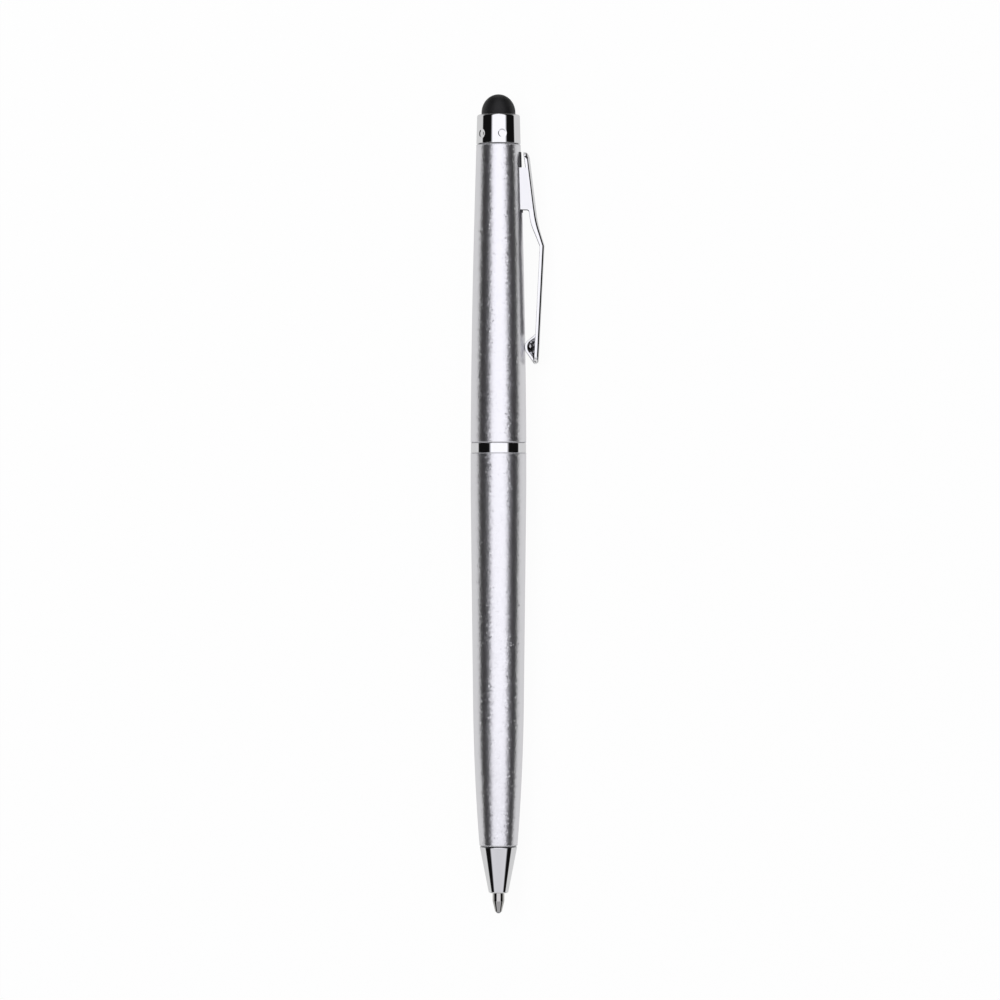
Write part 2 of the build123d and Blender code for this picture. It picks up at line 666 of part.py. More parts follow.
def clip():
    """Formed channel: a back with side walls, a foot in the barrel's slot and a boss at the end."""
    back = clip_area(0)
    foot_middle = ((FOOT_INNER + CLIP_BEND_REACH) / 2, (FOOT_TOP + FOOT_BASE) / 2)
    foot = Pos(foot_middle) * Rectangle(CLIP_BEND_REACH - FOOT_INNER, CLIP_FOOT_LENGTH)
    walls = (back - clip_area(CLIP_WALL_DEPTH)) + (back & foot)
    foot_corners = walls.vertices().filter_by_position(Axis.Y, FOOT_BASE - SEAT, FOOT_BASE + SEAT)
    walls = fillet(foot_corners.sort_by(Axis.X)[-1], CLIP_FOOT_ROUND)
    body = clip_prism(walls) & clip_plan(0)
    rim = body.edges().filter_by(Axis.Y, reverse=True).filter_by(on_clip_skin)
    body = fillet(rim, CLIP_EDGE_ROUND)
    body -= clip_prism(clip_area(CLIP_THICKNESS)) & clip_plan(CLIP_THICKNESS)
    body += clip_boss() & clip_prism(clip_area(CLIP_THICKNESS / 2)) & clip_plan(0)
    half = CLIP_WIDTH / 2
    bridge_outer = FOOT_INNER + CLIP_THICKNESS
    return body + box_between((FOOT_INNER, -half, BRIDGE_BASE), (bridge_outer, half, BRIDGE_TOP))


def clip_anchor():
    """Moulded key: a pad that fills the slot, a base inside the bore, and room for the foot."""
    half = ANCHOR_WIDTH / 2
    reach = CLIP_BEND_REACH
    low = SLOT_BASE - ANCHOR_OVERLAP
    high = SLOT_TOP + ANCHOR_OVERLAP
    base = box_between((ANCHOR_FLOOR, -half, low), (UPPER_BORE, half, high))
    base &= rod(UPPER_BORE - SEAT, low, high)
    skin = turned(
        Polyline(
            (0, low),
            (upper_barrel_radius(low) + ANCHOR_PROUD, low),
            (upper_barrel_radius(high) + ANCHOR_PROUD, high),
            (0, high),
            close=True,
        )
    )
    floor = box_between((ANCHOR_FLOOR, -half, low), (reach, half, high))
    body = base + (slot_prism(SEAT) & skin & floor)
    channel_top = FOOT_TOP + FOOT_PLAY
    channel_floor = FOOT_INNER - FOOT_PLAY
    tongue = CLIP_WIDTH / 2 - CLIP_THICKNESS - FOOT_PLAY
    for side in (-1, 1):
        body -= box_between((channel_floor, side * tongue, low), (reach, side * half, channel_top))
    window_low = (FOOT_INNER - BRIDGE_PLAY, -half, BRIDGE_BASE - BRIDGE_PLAY)
    window_high = (FOOT_INNER + CLIP_THICKNESS + BRIDGE_PLAY, half, BRIDGE_TOP + BRIDGE_PLAY)
    return body - box_between(window_low, window_high)


PIECES = [
    stylus_tip,
    stylus_collar,
    stylus_core,
    upper_barrel,
    clip,
    clip_anchor,
    center_ring,
    lower_barrel,
    barrel_bush,
    friction_ring,
    nose_cone,
    return_spring,
    guide_tube,
    retaining_ring,
    cam_sleeve,
    drive_sleeve,
    plunger,
    cam_pin,
    refill_tube,
    refill_plug,
    ink_column,
    refill_tip,
    refill_ball,
]

os.makedirs("parts", exist_ok=True)
for piece in PIECES:
    export_step(LIE_DOWN * piece(), f"parts/{piece.__name__}.step")
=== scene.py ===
import json
from math import asin, atan2, ceil, cos, hypot, pi, radians, sin, sqrt, tan

import bmesh
import bpy
from mathutils import Matrix, Vector


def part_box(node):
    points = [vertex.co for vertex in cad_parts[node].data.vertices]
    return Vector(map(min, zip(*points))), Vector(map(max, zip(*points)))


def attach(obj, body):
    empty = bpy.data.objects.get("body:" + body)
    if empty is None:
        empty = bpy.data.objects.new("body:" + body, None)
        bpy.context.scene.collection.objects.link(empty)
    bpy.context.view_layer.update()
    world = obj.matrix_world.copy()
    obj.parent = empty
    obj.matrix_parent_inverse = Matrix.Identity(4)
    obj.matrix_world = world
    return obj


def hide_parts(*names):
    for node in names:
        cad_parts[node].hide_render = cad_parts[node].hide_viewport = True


# Twist-action ballpoint pen with a stylus dome, dressed for a product picture. Lengths are in
# metres. Pieces are drawn on an upright pen: x points to the clip, z runs along the axis from nib
# to stylus, and zero is the middle of the centre ring. PEN then lays them on the table.
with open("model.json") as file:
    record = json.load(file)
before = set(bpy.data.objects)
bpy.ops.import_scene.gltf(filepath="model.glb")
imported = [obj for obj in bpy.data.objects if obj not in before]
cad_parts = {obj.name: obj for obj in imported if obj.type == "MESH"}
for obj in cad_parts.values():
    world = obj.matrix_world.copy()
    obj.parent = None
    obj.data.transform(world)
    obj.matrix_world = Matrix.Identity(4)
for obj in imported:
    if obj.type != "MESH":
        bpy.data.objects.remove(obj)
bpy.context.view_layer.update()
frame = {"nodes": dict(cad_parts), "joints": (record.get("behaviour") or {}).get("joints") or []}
MM = 0.001

# The pen's lie on the table
JOINTS = {joint["name"]: joint for joint in frame["joints"]}
AXIS_HEIGHT = JOINTS["twist"]["pos_m"][2]
ALONG = Vector((0, 1, 0))
TO_CAMERA = Vector(JOINTS["clip_flex"]["axis"]).normalized()
CLIP_SIDE = ALONG.cross(TO_CAMERA)
LAID_AXES = Matrix((CLIP_SIDE, -TO_CAMERA, ALONG)).transposed().to_4x4()
PEN = Matrix.Translation((0, 0, AXIS_HEIGHT)) @ LAID_AXES


def heights(node):
    """Lowest and highest place of a CAD node along the pen."""
    low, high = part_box(node)
    return low.y, high.y


# Places along the pen
RING_LOW, RING_HIGH = heights("center_ring")
UPPER_LOW, UPPER_HIGH = heights("upper_barrel")
LOWER_LOW, LOWER_HIGH = heights("lower_barrel")
COLLAR_LOW, COLLAR_HIGH = heights("stylus_collar")
SKIRT_LOW, DOME_HIGH = heights("stylus_tip")
NOSE_LOW, NOSE_HIGH = heights("nose_cone")
TIP_LOW, TIP_HIGH = heights("refill_tip")
BALL_LOW, BALL_HIGH = heights("refill_ball")
CLIP_LOW, CLIP_HIGH = heights("clip")
SPRING_LOW, SPRING_HIGH = heights("return_spring")
TUBE_LOW = heights("refill_tube")[0]
BUSH_HIGH = heights("barrel_bush")[1]

# Outside radii
GRIP_RADIUS = AXIS_HEIGHT
BARREL_TOP_RADIUS = 3.78 * MM
CLIP_SEAT_RADIUS = 4.13 * MM
COLLAR_TOP_RADIUS = 3.65 * MM
WAIST_RADIUS = 4.34 * MM
BARREL_TIP_RADIUS = 3.24 * MM
NOSE_TOP_RADIUS = 3.2 * MM
NOSE_END_RADIUS = 1.65 * MM
DOME_RADIUS = 2.9 * MM
STEM_RADIUS = 1.01 * MM
FLANGE_RADIUS = 1.735 * MM
SHANK_RADIUS = 1.2 * MM
NIB_FACE_RADIUS = 0.56 * MM

# Bores and walls
UPPER_BORE = 3.3 * MM
JOURNAL_BORE = 3.65 * MM
JOURNAL_RELIEF = 0.7 * MM
LOWER_BORE = 3.9 * MM
NOSE_SEAT_BORE = 2.64 * MM
NOSE_BORE = 1.07 * MM
CHAMBER_RADIUS = 1.935 * MM
COLLAR_BORE = 3.13 * MM
DOME_BORE = 1.97 * MM
RUBBER_WALL = 0.93 * MM
LIP_THICKNESS = 0.6 * MM
FEED_RADIUS = 0.4 * MM
SEAT = 0.02 * MM

# Shapes of the barrels, the ring, the nose and the dome
CLIP_SEAT_MARGIN = 1.2 * MM
GRIP_LENGTH = 6.35 * MM
GRIP_BLEND_RADIUS = 200 * MM
WAIST_HEIGHT = 24.5 * MM
EDGE_ROUND = 0.16 * MM
BARREL_ROUND = 0.26 * MM
SEAM_WIDTH = 0.1 * MM
NOSE_SEAM_WIDTH = 0.15 * MM
RING_RECESS = 0.03 * MM
RING_ROUND = 0.07 * MM
NOSE_END_ROUND = 0.3 * MM
NIB_CONE_LENGTH = 1.82 * MM
SHOULDER_ROUND = 0.65 * MM
DOME_STRAIGHT = 0.35 * MM

# Crimp dimples of the collar, pressed into the part of its wall outside a base radius
DIMPLE_COUNT = 6
DIMPLE_PHASE = radians(-80.3)
DIMPLE_RISE = 1.71 * MM
DIMPLE_RADIUS = 0.78 * MM
DIMPLE_FLOOR_RADIUS = 0.5 * MM
DIMPLE_DEPTH = 0.1 * MM
DIMPLE_STEP = DIMPLE_FLOOR_RADIUS / 8
DIMPLE_BASE = COLLAR_BORE + 0.03 * MM

# Pocket clip: drops are measured down from its top, stand-offs out from the barrel
CLIP_WIDTH = 3.2 * MM
CLIP_THICKNESS = 0.4 * MM
CLIP_END_ROUND = 1.3 * MM
CLIP_EDGE = 0.03 * MM
CLIP_INSIDE_ROUND = 0.12 * MM
CLIP_TOP_STANDOFF = 1.41 * MM
CLIP_KNEE_DROP = 12.25 * MM
CLIP_KNEE_STANDOFF = 2.58 * MM
CLIP_KNEE_RADIUS = 20 * MM
CLIP_BEND_DROP = 16.05 * MM
CLIP_BEND_STANDOFF = 3.616 * MM
CLIP_BEND_RADIUS = 1 * MM
CLIP_END_STANDOFF = 2.226 * MM

# The clip's back is crowned above its bend and has tighter shoulders below it
CROWN_DEPTH = 0.66 * MM
CROWN_SPREAD = 1.25 * MM
CROWN_WALL = 1.24 * MM
TOP_WALL = 0.94 * MM
SHOULDER_DEPTH = 0.72 * MM
SHOULDER_SPREAD = 0.46 * MM
SHOULDER_WALL = 0.8 * MM
CROWN_FADE = 9 * MM

# Relief notch in each side wall under the clip's top, as (inward of the back, drop) corners
NOTCH = [
    (0.92 * MM, 0.82 * MM),
    (0.5 * MM, 0.48 * MM),
    (0.3 * MM, 1.0 * MM),
    (0.42 * MM, 1.42 * MM),
]
NOTCH_DEPTH = 0.3 * MM

# Foot and boss of the clip
FOOT_DROP = 2.7 * MM
FOOT_LENGTH = 7.15 * MM
FOOT_ROUND = 0.6 * MM
FOOT_CORNER = 0.3 * MM
FOOT_INNER = 2.95 * MM
BOSS_LENGTH = 5.12 * MM
BOSS_SHOULDER = 3.5 * MM
BOSS_HEEL = 2.4 * MM
BOSS_ROUND = 1.7 * MM
BOSS_GAP = 0.05 * MM
BOSS_HALF_WIDTH = 1.3 * MM
BOSS_RIM = 0.36 * MM
BOSS_HOLLOW = 0.62 * MM
BOSS_EDGE = 0.15 * MM
BOSS_SINK = 0.9 * CLIP_THICKNESS
BOSS_STEP = 4 * BOSS_EDGE
BOSS_STRIPS = 4

# Slot in the barrel for the foot
SLOT_PLAY = 0.01 * MM
SLOT_END_PLAY = 0.5 * MM
SLOT_CORNER = 0.35 * MM

# Fineness of the meshes
SEGMENTS = 192
FINE_SEGMENTS = 480
ARC_STEPS = 6
SUPPORT = 0.03 * MM
SUPPORTED_RUN = 6 * SUPPORT
MERGE_DISTANCE = 1e-4 * MM
SHARP_ANGLE = radians(32)

# How far a face's normal has to point along a direction, for the finishes that go by it
END_LEAN = 0.15
FACING = 0.5
FLAT_ON = 0.9

# Finishes: the part of a noise that gives the clouds, the flakes' numbers and the turning marks
CLOUD_SPAN = (0.3, 0.7)
FLAKE_MIDDLE = (0.5, 0.5, 0.5)
FLAKE_HASH = (57.0, 31.0, 0.0)
TURNING_COUNT = 2600
TURNING_WANDER = 1.5

# Numbers of a mix node's colour sockets
MIX_COLOURS = (6, 7)
MIX_RESULT = 2

# The picture: 1000 pixels across this width at the pen's axis, from this far away
PICTURE_WIDTH = 170.94 * MM
CAMERA_DISTANCE = 855 * MM
PICTURE_MIDDLE = (0.26 * MM, -8.89 * MM)
SENSOR_WIDTH = 36.0
CAMERA_NEAR = 0.01
CAMERA_FAR = 20

# The studio: angles are measured round the pen from the camera, and places along its axis run from
# -1 at the nib's pole to 1 at the dome's
PANEL_GLOW = 1.07
PANEL_TINT = (0.985, 0.98, 1.03, 1)
PANEL_SHIFT = radians(2.5)
PANEL_SOFT = radians(6)
PANEL_EDGE = radians(37)
PANEL_NIB_EDGE = radians(55)
PANEL_FLARE = (-0.385, -0.1)
PANEL_FADE = (-0.6, -0.04)
PANEL_FADE_SHARE = 0.46
PANEL_END = (-0.8, -0.62)
PANEL_END_SHARE = 0.2
TABLE_GLOW = 0.66
TABLE_EDGE = radians(92)
TABLE_SOFT = radians(3)
TABLE_END = (0.5, 0.7)
TABLE_END_SHARE = 0.15
TABLE_UNDER = (radians(150), radians(165))
NIB_POLE = (-0.85, -0.65)
NIB_POLE_GLOW = 1.0
NIB_FAR = (-0.96, -0.84)
NIB_FAR_SHARE = 0.22
DOME_POLE = (0.88, 0.95)
DOME_POLE_GLOW = 0.04
DARK_GLOW = 0.006
WHITE = (1, 1, 1, 1)
FLOOR_HALF = 1.5
FLOOR_WHITE = 0.95
FLOOR_COLOUR = (0.9, 0.9, 0.9, 1)
FLOOR_ROUGHNESS = 0.9
FILL_POWER = 5.0
FILL_SIZE = 0.8
FILL_PLACE = Vector((-0.25, 0.35, 1.0))


# Lines and sections

def upper_barrel_radius(height):
    """Outside radius of the upper barrel at a height: a cone round the slot, a parabola below it."""
    seat = slot_low() - CLIP_SEAT_MARGIN
    slope = (CLIP_SEAT_RADIUS - BARREL_TOP_RADIUS) / (UPPER_HIGH - seat)
    share = max(seat - height, 0) / (seat - UPPER_LOW)
    cone_foot = CLIP_SEAT_RADIUS + slope * (seat - UPPER_LOW)
    return CLIP_SEAT_RADIUS + slope * (seat - height) - (cone_foot - GRIP_RADIUS) * share ** 2


def slot_low():
    """Lower end of the slot for the clip's foot."""
    return CLIP_HIGH - FOOT_DROP - FOOT_LENGTH - SLOT_END_PLAY


def corner_arc(before, corner, after, radius, steps):
    """Points of the arc of a radius that rounds a corner between two runs."""
    back = (before - corner).normalized()
    ahead = (after - corner).normalized()
    half_angle = back.angle(ahead) / 2
    reach = min(radius / tan(half_angle), (before - corner).length / 2, (after - corner).length / 2)
    radius = reach * tan(half_angle)
    centre = corner + (back + ahead).normalized() * radius / sin(half_angle)
    start = corner + back * reach - centre
    end = corner + ahead * reach - centre
    turn = start.angle(end)
    points = []
    for step in range(steps + 1):
        share = step / steps
        weights = (sin((1 - share) * turn) / sin(turn), sin(share * turn) / sin(turn))
        points.append(centre + start * weights[0] + end * weights[1])
    return points


def rounded_line(corners, closed=False, steps=ARC_STEPS):
    """Polyline through (across, along, rounding) corners, with tangent arcs at the rounded ones."""
    spots = [Vector(corner[:2]) for corner in corners]
    line = []
    for number, corner in enumerate(corners):
        rounding = corner[2] if len(corner) > 2 else 0
        if not rounding or (not closed and number in (0, len(corners) - 1)):
            line.append(spots[number])
            continue
        after = spots[(number + 1) % len(spots)]
        line += corner_arc(spots[number - 1], spots[number], after, rounding, steps)
    return line


def tangent_arc(start, direction, end, steps):
    """Points after start on the arc that leaves it in a direction and reaches end."""
    start, end = Vector(start), Vector(end)
    direction = Vector(direction).normalized()
    chord = end - start
    turn = 2 * atan2(direction.cross(chord), direction.dot(chord))
    points = []
    for step in range(1, steps + 1):
        share = step / steps
        length = chord.length * sin(share * turn / 2) / sin(turn / 2)
        lean = share * turn / 2
        points.append(start + length * Vector((
            direction.x * cos(lean) - direction.y * sin(lean),
            direction.x * sin(lean) + direction.y * cos(lean),
        )))
    return points


def with_supports(line, closed):
    """Line with extra points beside the ends of its long runs, which keep the shading flat there."""
    points = []
    count = len(line) if closed else len(line) - 1
    for number in range(count):
        start, end = line[number], line[(number + 1) % len(line)]
        points.append(start)
        length = (end - start).length
        if length > SUPPORTED_RUN:
            points.append(start.lerp(end, SUPPORT / length))
            points.append(end.lerp(start, SUPPORT / length))
    if not closed:
        points.append(line[-1])
    return points


def smooth(share):
    """Share held between 0 and 1 and eased at both ends."""
    share = min(max(share, 0), 1)
    return share * share * (3 - 2 * share)


# Meshes and pieces

def add_object(name, data):
    """Object in the scene for a mesh, a camera or a light."""
    item = bpy.data.objects.new(name, data)
    bpy.context.scene.collection.objects.link(item)
    return item


def finish_mesh(name, points, faces):
    """Mesh laid on the table, with merged doubles, outward normals and smooth shading."""
    mesh = bpy.data.meshes.new(name)
    mesh.from_pydata([tuple(PEN @ Vector(point)) for point in points], [], faces)
    work = bmesh.new()
    work.from_mesh(mesh)
    bmesh.ops.remove_doubles(work, verts=work.verts, dist=MERGE_DISTANCE)
    bmesh.ops.dissolve_degenerate(work, edges=work.edges, dist=MERGE_DISTANCE)
    bmesh.ops.recalc_face_normals(work, faces=work.faces)
    work.to_mesh(mesh)
    work.free()
    shade(mesh)
    return mesh


def shade(mesh):
    """Smooth shading, broken at sharp edges."""
    mesh.polygons.foreach_set("use_smooth", [True] * len(mesh.polygons))
    mesh.set_sharp_from_angle(angle=SHARP_ANGLE)


def place(name, mesh, body, slot, material, *nodes):
    """Object for a mesh that rides on a body and stands for CAD nodes."""
    piece = add_object(name, mesh)
    piece.data.materials.append(material)
    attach(piece, body)
    if nodes:
        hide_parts(*nodes)
    return piece


def second_finish(piece, material, holds):
    """Another finish on the faces whose middle, on the upright pen, holds to a rule."""
    piece.data.materials.append(material)
    upright = PEN.inverted()
    for face in piece.data.polygons:
        if holds(upright @ face.center, upright.to_3x3() @ face.normal):
            face.material_index = len(piece.data.materials) - 1


def turned(name, section, segments=SEGMENTS, closed=True, displace=None):
    """Mesh turned about the pen's axis from a half section of (radius, height) points."""
    points, faces = [], []
    section = with_supports(section, closed)
    for number in range(segments):
        angle = 2 * pi * number / segments
        for radius, height in section:
            if displace:
                radius = displace(radius, height, angle)
            points.append((radius * cos(angle), radius * sin(angle), height))
    count = len(section)
    runs = count if closed else count - 1
    for number in range(segments):
        here, there = number * count, (number + 1) % segments * count
        for step in range(runs):
            following = (step + 1) % count
            faces.append((here + step, there + step, there + following, here + following))
    return finish_mesh(name, points, faces)


def lofted(name, loops, caps=False):
    """Mesh through closed loops with as many points each, with a face at each end if asked."""
    count = len(loops[0])
    points = [point for loop in loops for point in loop]
    faces = []
    if caps:
        faces = [tuple(range(count))[::-1], tuple(range(len(points) - count, len(points)))]
    for number in range(len(loops) - 1):
        here, there = number * count, (number + 1) * count
        for step in range(count):
            following = (step + 1) % count
            faces.append((here + step, here + following, there + following, there + step))
    return finish_mesh(name, points, faces)


def cut(mesh, cutter_mesh):
    """Mesh with another taken away from it."""
    body = add_object("cut_body", mesh)
    cutter = add_object("cutter", cutter_mesh)
    change = body.modifiers.new("cut", "BOOLEAN")
    change.object = cutter
    change.operation = "DIFFERENCE"
    change.solver = "EXACT"
    ready = body.evaluated_get(bpy.context.evaluated_depsgraph_get())
    result = bpy.data.meshes.new_from_object(ready)
    for item in (body, cutter):
        bpy.data.objects.remove(item)
    shade(result)
    return result


# Materials

class Nodes:
    """Shorthand for the nodes of one material or world."""

    def __init__(self, tree):
        self.tree = tree

    def add(self, kind, **settings):
        node = self.tree.nodes.new(kind)
        for name, value in settings.items():
            setattr(node, name, value)
        return node

    def link(self, source, target):
        self.tree.links.new(source, target)

    def math(self, operation, first, second=0.0):
        node = self.add("ShaderNodeMath", operation=operation)
        for socket, value in zip(node.inputs, (first, second)):
            if isinstance(value, (int, float)):
                socket.default_value = value
            else:
                self.link(value, socket)
        return node.outputs[0]

    def vector(self, operation, first, second=None, scale=None):
        node = self.add("ShaderNodeVectorMath", operation=operation)
        self.link(first, node.inputs[0])
        if isinstance(second, tuple):
            node.inputs[1].default_value = second
        elif second:
            self.link(second, node.inputs[1])
        if scale:
            self.link(scale, node.inputs["Scale"])
        return node.outputs["Value" if operation == "DOT_PRODUCT" else "Vector"]

    def fit(self, value, low, high, to_low, to_high, eased=False):
        """Value carried from one range to another, held at its ends."""
        node = self.add("ShaderNodeMapRange", interpolation_type="SMOOTHSTEP" if eased else "LINEAR")
        self.link(value, node.inputs["Value"])
        sockets = ("From Min", "From Max", "To Min", "To Max")
        for name, number in zip(sockets, (low, high, to_low, to_high)):
            node.inputs[name].default_value = number
        return node.outputs["Result"]

    def noise(self, count, detail, stretch=None):
        """Noise over the piece, with its grain's count in a metre, stretched along the pen if asked."""
        source = self.add("ShaderNodeTexCoord").outputs["Object"]
        if stretch:
            shape = self.add("ShaderNodeMapping")
            shape.inputs["Scale"].default_value = (1, stretch, 1)
            self.link(source, shape.inputs["Vector"])
            source = shape.outputs["Vector"]
        node = self.add("ShaderNodeTexNoise")
        node.inputs["Scale"].default_value = count
        node.inputs["Detail"].default_value = detail
        self.link(source, node.inputs["Vector"])
        return node.outputs["Fac"]

    def cells(self, count):
        """Random colours of cells over the piece, with their count in a metre."""
        node = self.add("ShaderNodeTexVoronoi")
        node.inputs["Scale"].default_value = count
        self.link(self.add("ShaderNodeTexCoord").outputs["Object"], node.inputs["Vector"])
        return node.outputs["Color"]

    def bump(self, height, strength, distance):
        node = self.add("ShaderNodeBump")
        node.inputs["Strength"].default_value = strength
        node.inputs["Distance"].default_value = distance
        self.link(height, node.inputs["Height"])
        return node.outputs["Normal"]

    def tint(self, factor, low, high):
        """Colour between two, by a factor."""
        node = self.add("ShaderNodeMix", data_type="RGBA")
        self.link(factor, node.inputs["Factor"])
        for number, colour in zip(MIX_COLOURS, (low, high)):
            node.inputs[number].default_value = (*colour, 1)
        return node.outputs[MIX_RESULT]


def new_material(name, metallic=0.0, roughness=0.5):
    """Material, its nodes and its shader."""
    material = bpy.data.materials.new(name)
    material.use_nodes = True
    shader = material.node_tree.nodes["Principled BSDF"]
    shader.inputs["Metallic"].default_value = metallic
    shader.inputs["Roughness"].default_value = roughness
    return material, Nodes(material.node_tree), shader


def clouded(name, count, colours, roughness, metallic=1.0, detail=4, stretch=None, span=CLOUD_SPAN):
    """Material, nodes and shader, with colour and roughness between two values over clouds."""
    material, nodes, shader = new_material(name, metallic)
    cloud = nodes.noise(count, detail, stretch)
    nodes.link(nodes.tint(cloud, *colours), shader.inputs["Base Color"])
    nodes.link(nodes.fit(cloud, *span, *roughness), shader.inputs["Roughness"])
    return material, nodes, shader


def flaked(nodes, count, rare, least, most):
    """Surface normal with cells, so many in a metre, of which the rarer ones lean more."""
    flake = nodes.cells(count)
    lean = nodes.vector("SUBTRACT", flake, FLAKE_MIDDLE)
    chance = nodes.math("FRACT", nodes.vector("DOT_PRODUCT", flake, FLAKE_HASH))
    lean = nodes.vector("SCALE", lean, scale=nodes.fit(chance, rare, 1, least, most))
    surface = nodes.add("ShaderNodeNewGeometry").outputs["Normal"]
    return nodes.vector("NORMALIZE", nodes.vector("ADD", surface, lean))


def satin_metal():
    """Satin silver lacquer: soft reflections with a fine metal flake, a few flakes tilted more."""
    colours = ((0.945, 0.94, 0.965), (0.97, 0.965, 0.99))
    material, nodes, shader = clouded("satin_silver", 900, colours, roughness=(0.295, 0.305))
    flakes = flaked(nodes, 5200, rare=0.75, least=0.07, most=0.32)
    nodes.link(flakes, shader.inputs["Normal"])
    return material


def chrome(name, least, most):
    """Bright plating with faint smears and a slight waviness, its roughness between two values."""
    colours = ((0.88, 0.88, 0.89), (0.95, 0.95, 0.96))
    smear = {"detail": 5, "stretch": 0.25, "span": (0.35, 0.75)}
    material, nodes, shader = clouded(name, 260, colours, (least, most), **smear)
    waves = nodes.bump(nodes.noise(420, detail=2), strength=0.12, distance=0.01 * MM)
    nodes.link(waves, shader.inputs["Normal"])
    return material


def shade_dark_metal():
    """Metal darkened to paint the shade in the clip's channel and the nose's seam, on hidden faces too,
    with a sparkling grain.
    """
    colours = ((0.1, 0.1, 0.105), (0.3, 0.3, 0.31))
    material, nodes, shader = clouded("shade_dark_metal", 1500, colours, roughness=(0.2, 0.35))
    grain = nodes.bump(nodes.noise(3600, detail=3), strength=0.9, distance=0.12 * MM)
    nodes.link(grain, shader.inputs["Normal"])
    return material


def cut_edge():
    """Bare metal where a barrel's end was cut: bright and matt."""
    colours = ((0.86, 0.86, 0.88), (0.96, 0.96, 0.98))
    return clouded("cut_edge", 1800, colours, roughness=(0.5, 0.6))[0]


def hollow_shade_metal():
    """Plating darkened to paint the shade in the boss's hollows, with a coarse grain of small facets
    that sparkle.
    """
    colours = ((0.35, 0.35, 0.36), (0.6, 0.6, 0.61))
    material, nodes, shader = clouded("hollow_shade_metal", 1500, colours, roughness=(0.06, 0.12))
    facets = flaked(nodes, 3600, rare=0.8, least=0.06, most=1.0)
    nodes.link(facets, shader.inputs["Normal"])
    return material


def rubber(name, dark, light):
    """Matt rubber with a fine moulded grain and a little dust."""
    finish = {"roughness": (0.42, 0.5), "metallic": 0.0, "detail": 5}
    material, nodes, shader = clouded(name, 700, (dark, light), **finish)
    shader.inputs["Specular IOR Level"].default_value = 0.32
    grain = nodes.bump(nodes.noise(9000, detail=3), strength=0.25, distance=0.02 * MM)
    nodes.link(grain, shader.inputs["Normal"])
    return material


def plastic(name, dark, light, roughness):
    """Moulded plastic with a soft grain and slight colour clouds."""
    spread = (roughness - 0.06, roughness + 0.06)
    material, nodes, shader = clouded(name, 500, (dark, light), spread, metallic=0.0)
    grain = nodes.bump(nodes.noise(6000, detail=3), strength=0.15, distance=0.02 * MM)
    nodes.link(grain, shader.inputs["Normal"])
    return material


def turned_metal(name, dark, light, roughness):
    """Metal with fine turning marks round the pen's axis."""
    spread = (roughness - 0.04, roughness + 0.05)
    material, nodes, shader = clouded(name, 800, (dark, light), spread)
    marks = nodes.add("ShaderNodeTexWave", bands_direction="Y")
    marks.inputs["Scale"].default_value = TURNING_COUNT
    marks.inputs["Distortion"].default_value = TURNING_WANDER
    nodes.link(nodes.add("ShaderNodeTexCoord").outputs["Object"], marks.inputs["Vector"])
    grooves = nodes.bump(marks.outputs["Fac"], strength=0.1, distance=0.01 * MM)
    nodes.link(grooves, shader.inputs["Normal"])
    return material


SATIN = satin_metal()
CHROME = chrome("bright_chrome", 0.03, 0.08)
SOFT_CHROME = chrome("soft_chrome", 0.3, 0.36)
# Dark metal that paints shade in the clip's channel and the nose's seam
SHADE_DARK_METAL = shade_dark_metal()
# Darkened plating that paints shade in the boss's hollows
HOLLOW_SHADE_METAL = hollow_shade_metal()
CUT_EDGE = cut_edge()
RUBBER = rubber("stylus_rubber", (0.007, 0.007, 0.007), (0.012, 0.012, 0.013))
# Near-black rubber for the seal, also laid on the clip's notch floors as painted shade
SEAL_AND_NOTCH_SHADE = rubber("seal_rubber", (0.012, 0.012, 0.012), (0.024, 0.024, 0.024))
DARK_PLASTIC = plastic("moulded_dark", (0.06, 0.06, 0.062), (0.09, 0.09, 0.095), 0.5)
NYLON = plastic("white_nylon", (0.72, 0.71, 0.67), (0.82, 0.81, 0.77), 0.45)
CLEAR_TUBE = plastic("refill_plastic", (0.72, 0.74, 0.74), (0.82, 0.84, 0.84), 0.25)
INK = plastic("ink", (0.01, 0.012, 0.05), (0.02, 0.025, 0.09), 0.2)
BRASS = turned_metal("turned_brass", (0.66, 0.46, 0.2), (0.78, 0.58, 0.3), 0.25)
STEEL = turned_metal("spring_steel", (0.48, 0.48, 0.5), (0.6, 0.6, 0.62), 0.25)
NICKEL = turned_metal("nickel_silver", (0.55, 0.54, 0.52), (0.62, 0.61, 0.59), 0.07)
CARBIDE = turned_metal("carbide", (0.3, 0.3, 0.32), (0.42, 0.42, 0.44), 0.2)


# Barrels, ring and nose

def upper_barrel():
    """Tapered tube with rounded ends and the slot for the clip's foot."""
    low = RING_HIGH + SEAT / 2
    steps = 4 * ARC_STEPS
    corners = [(JOURNAL_BORE, low), (upper_barrel_radius(low), low, BARREL_ROUND)]
    for step in range(1, steps):
        height = low + (UPPER_HIGH - low) * step / steps
        corners.append((upper_barrel_radius(height), height))
    corners += [
        (BARREL_TOP_RADIUS, UPPER_HIGH, BARREL_ROUND),
        (UPPER_BORE, UPPER_HIGH),
        (UPPER_BORE, BUSH_HIGH + JOURNAL_RELIEF),
        (JOURNAL_BORE, BUSH_HIGH + JOURNAL_RELIEF),
    ]
    mesh = cut(turned("upper_barrel_skin", rounded_line(corners, closed=True)), slot_prism())
    piece = place("upper_barrel_skin", mesh, "upper_half", "satin_barrel", SATIN, "upper_barrel")
    second_finish(piece, CUT_EDGE, lambda spot, normal: at_end(spot, normal, low, UPPER_HIGH))


def at_end(spot, normal, low, high):
    """Whether a face lies on the rounded edge at either end of a barrel."""
    return min(spot.z - low, high - spot.z) < BARREL_ROUND and abs(normal.z) > END_LEAN


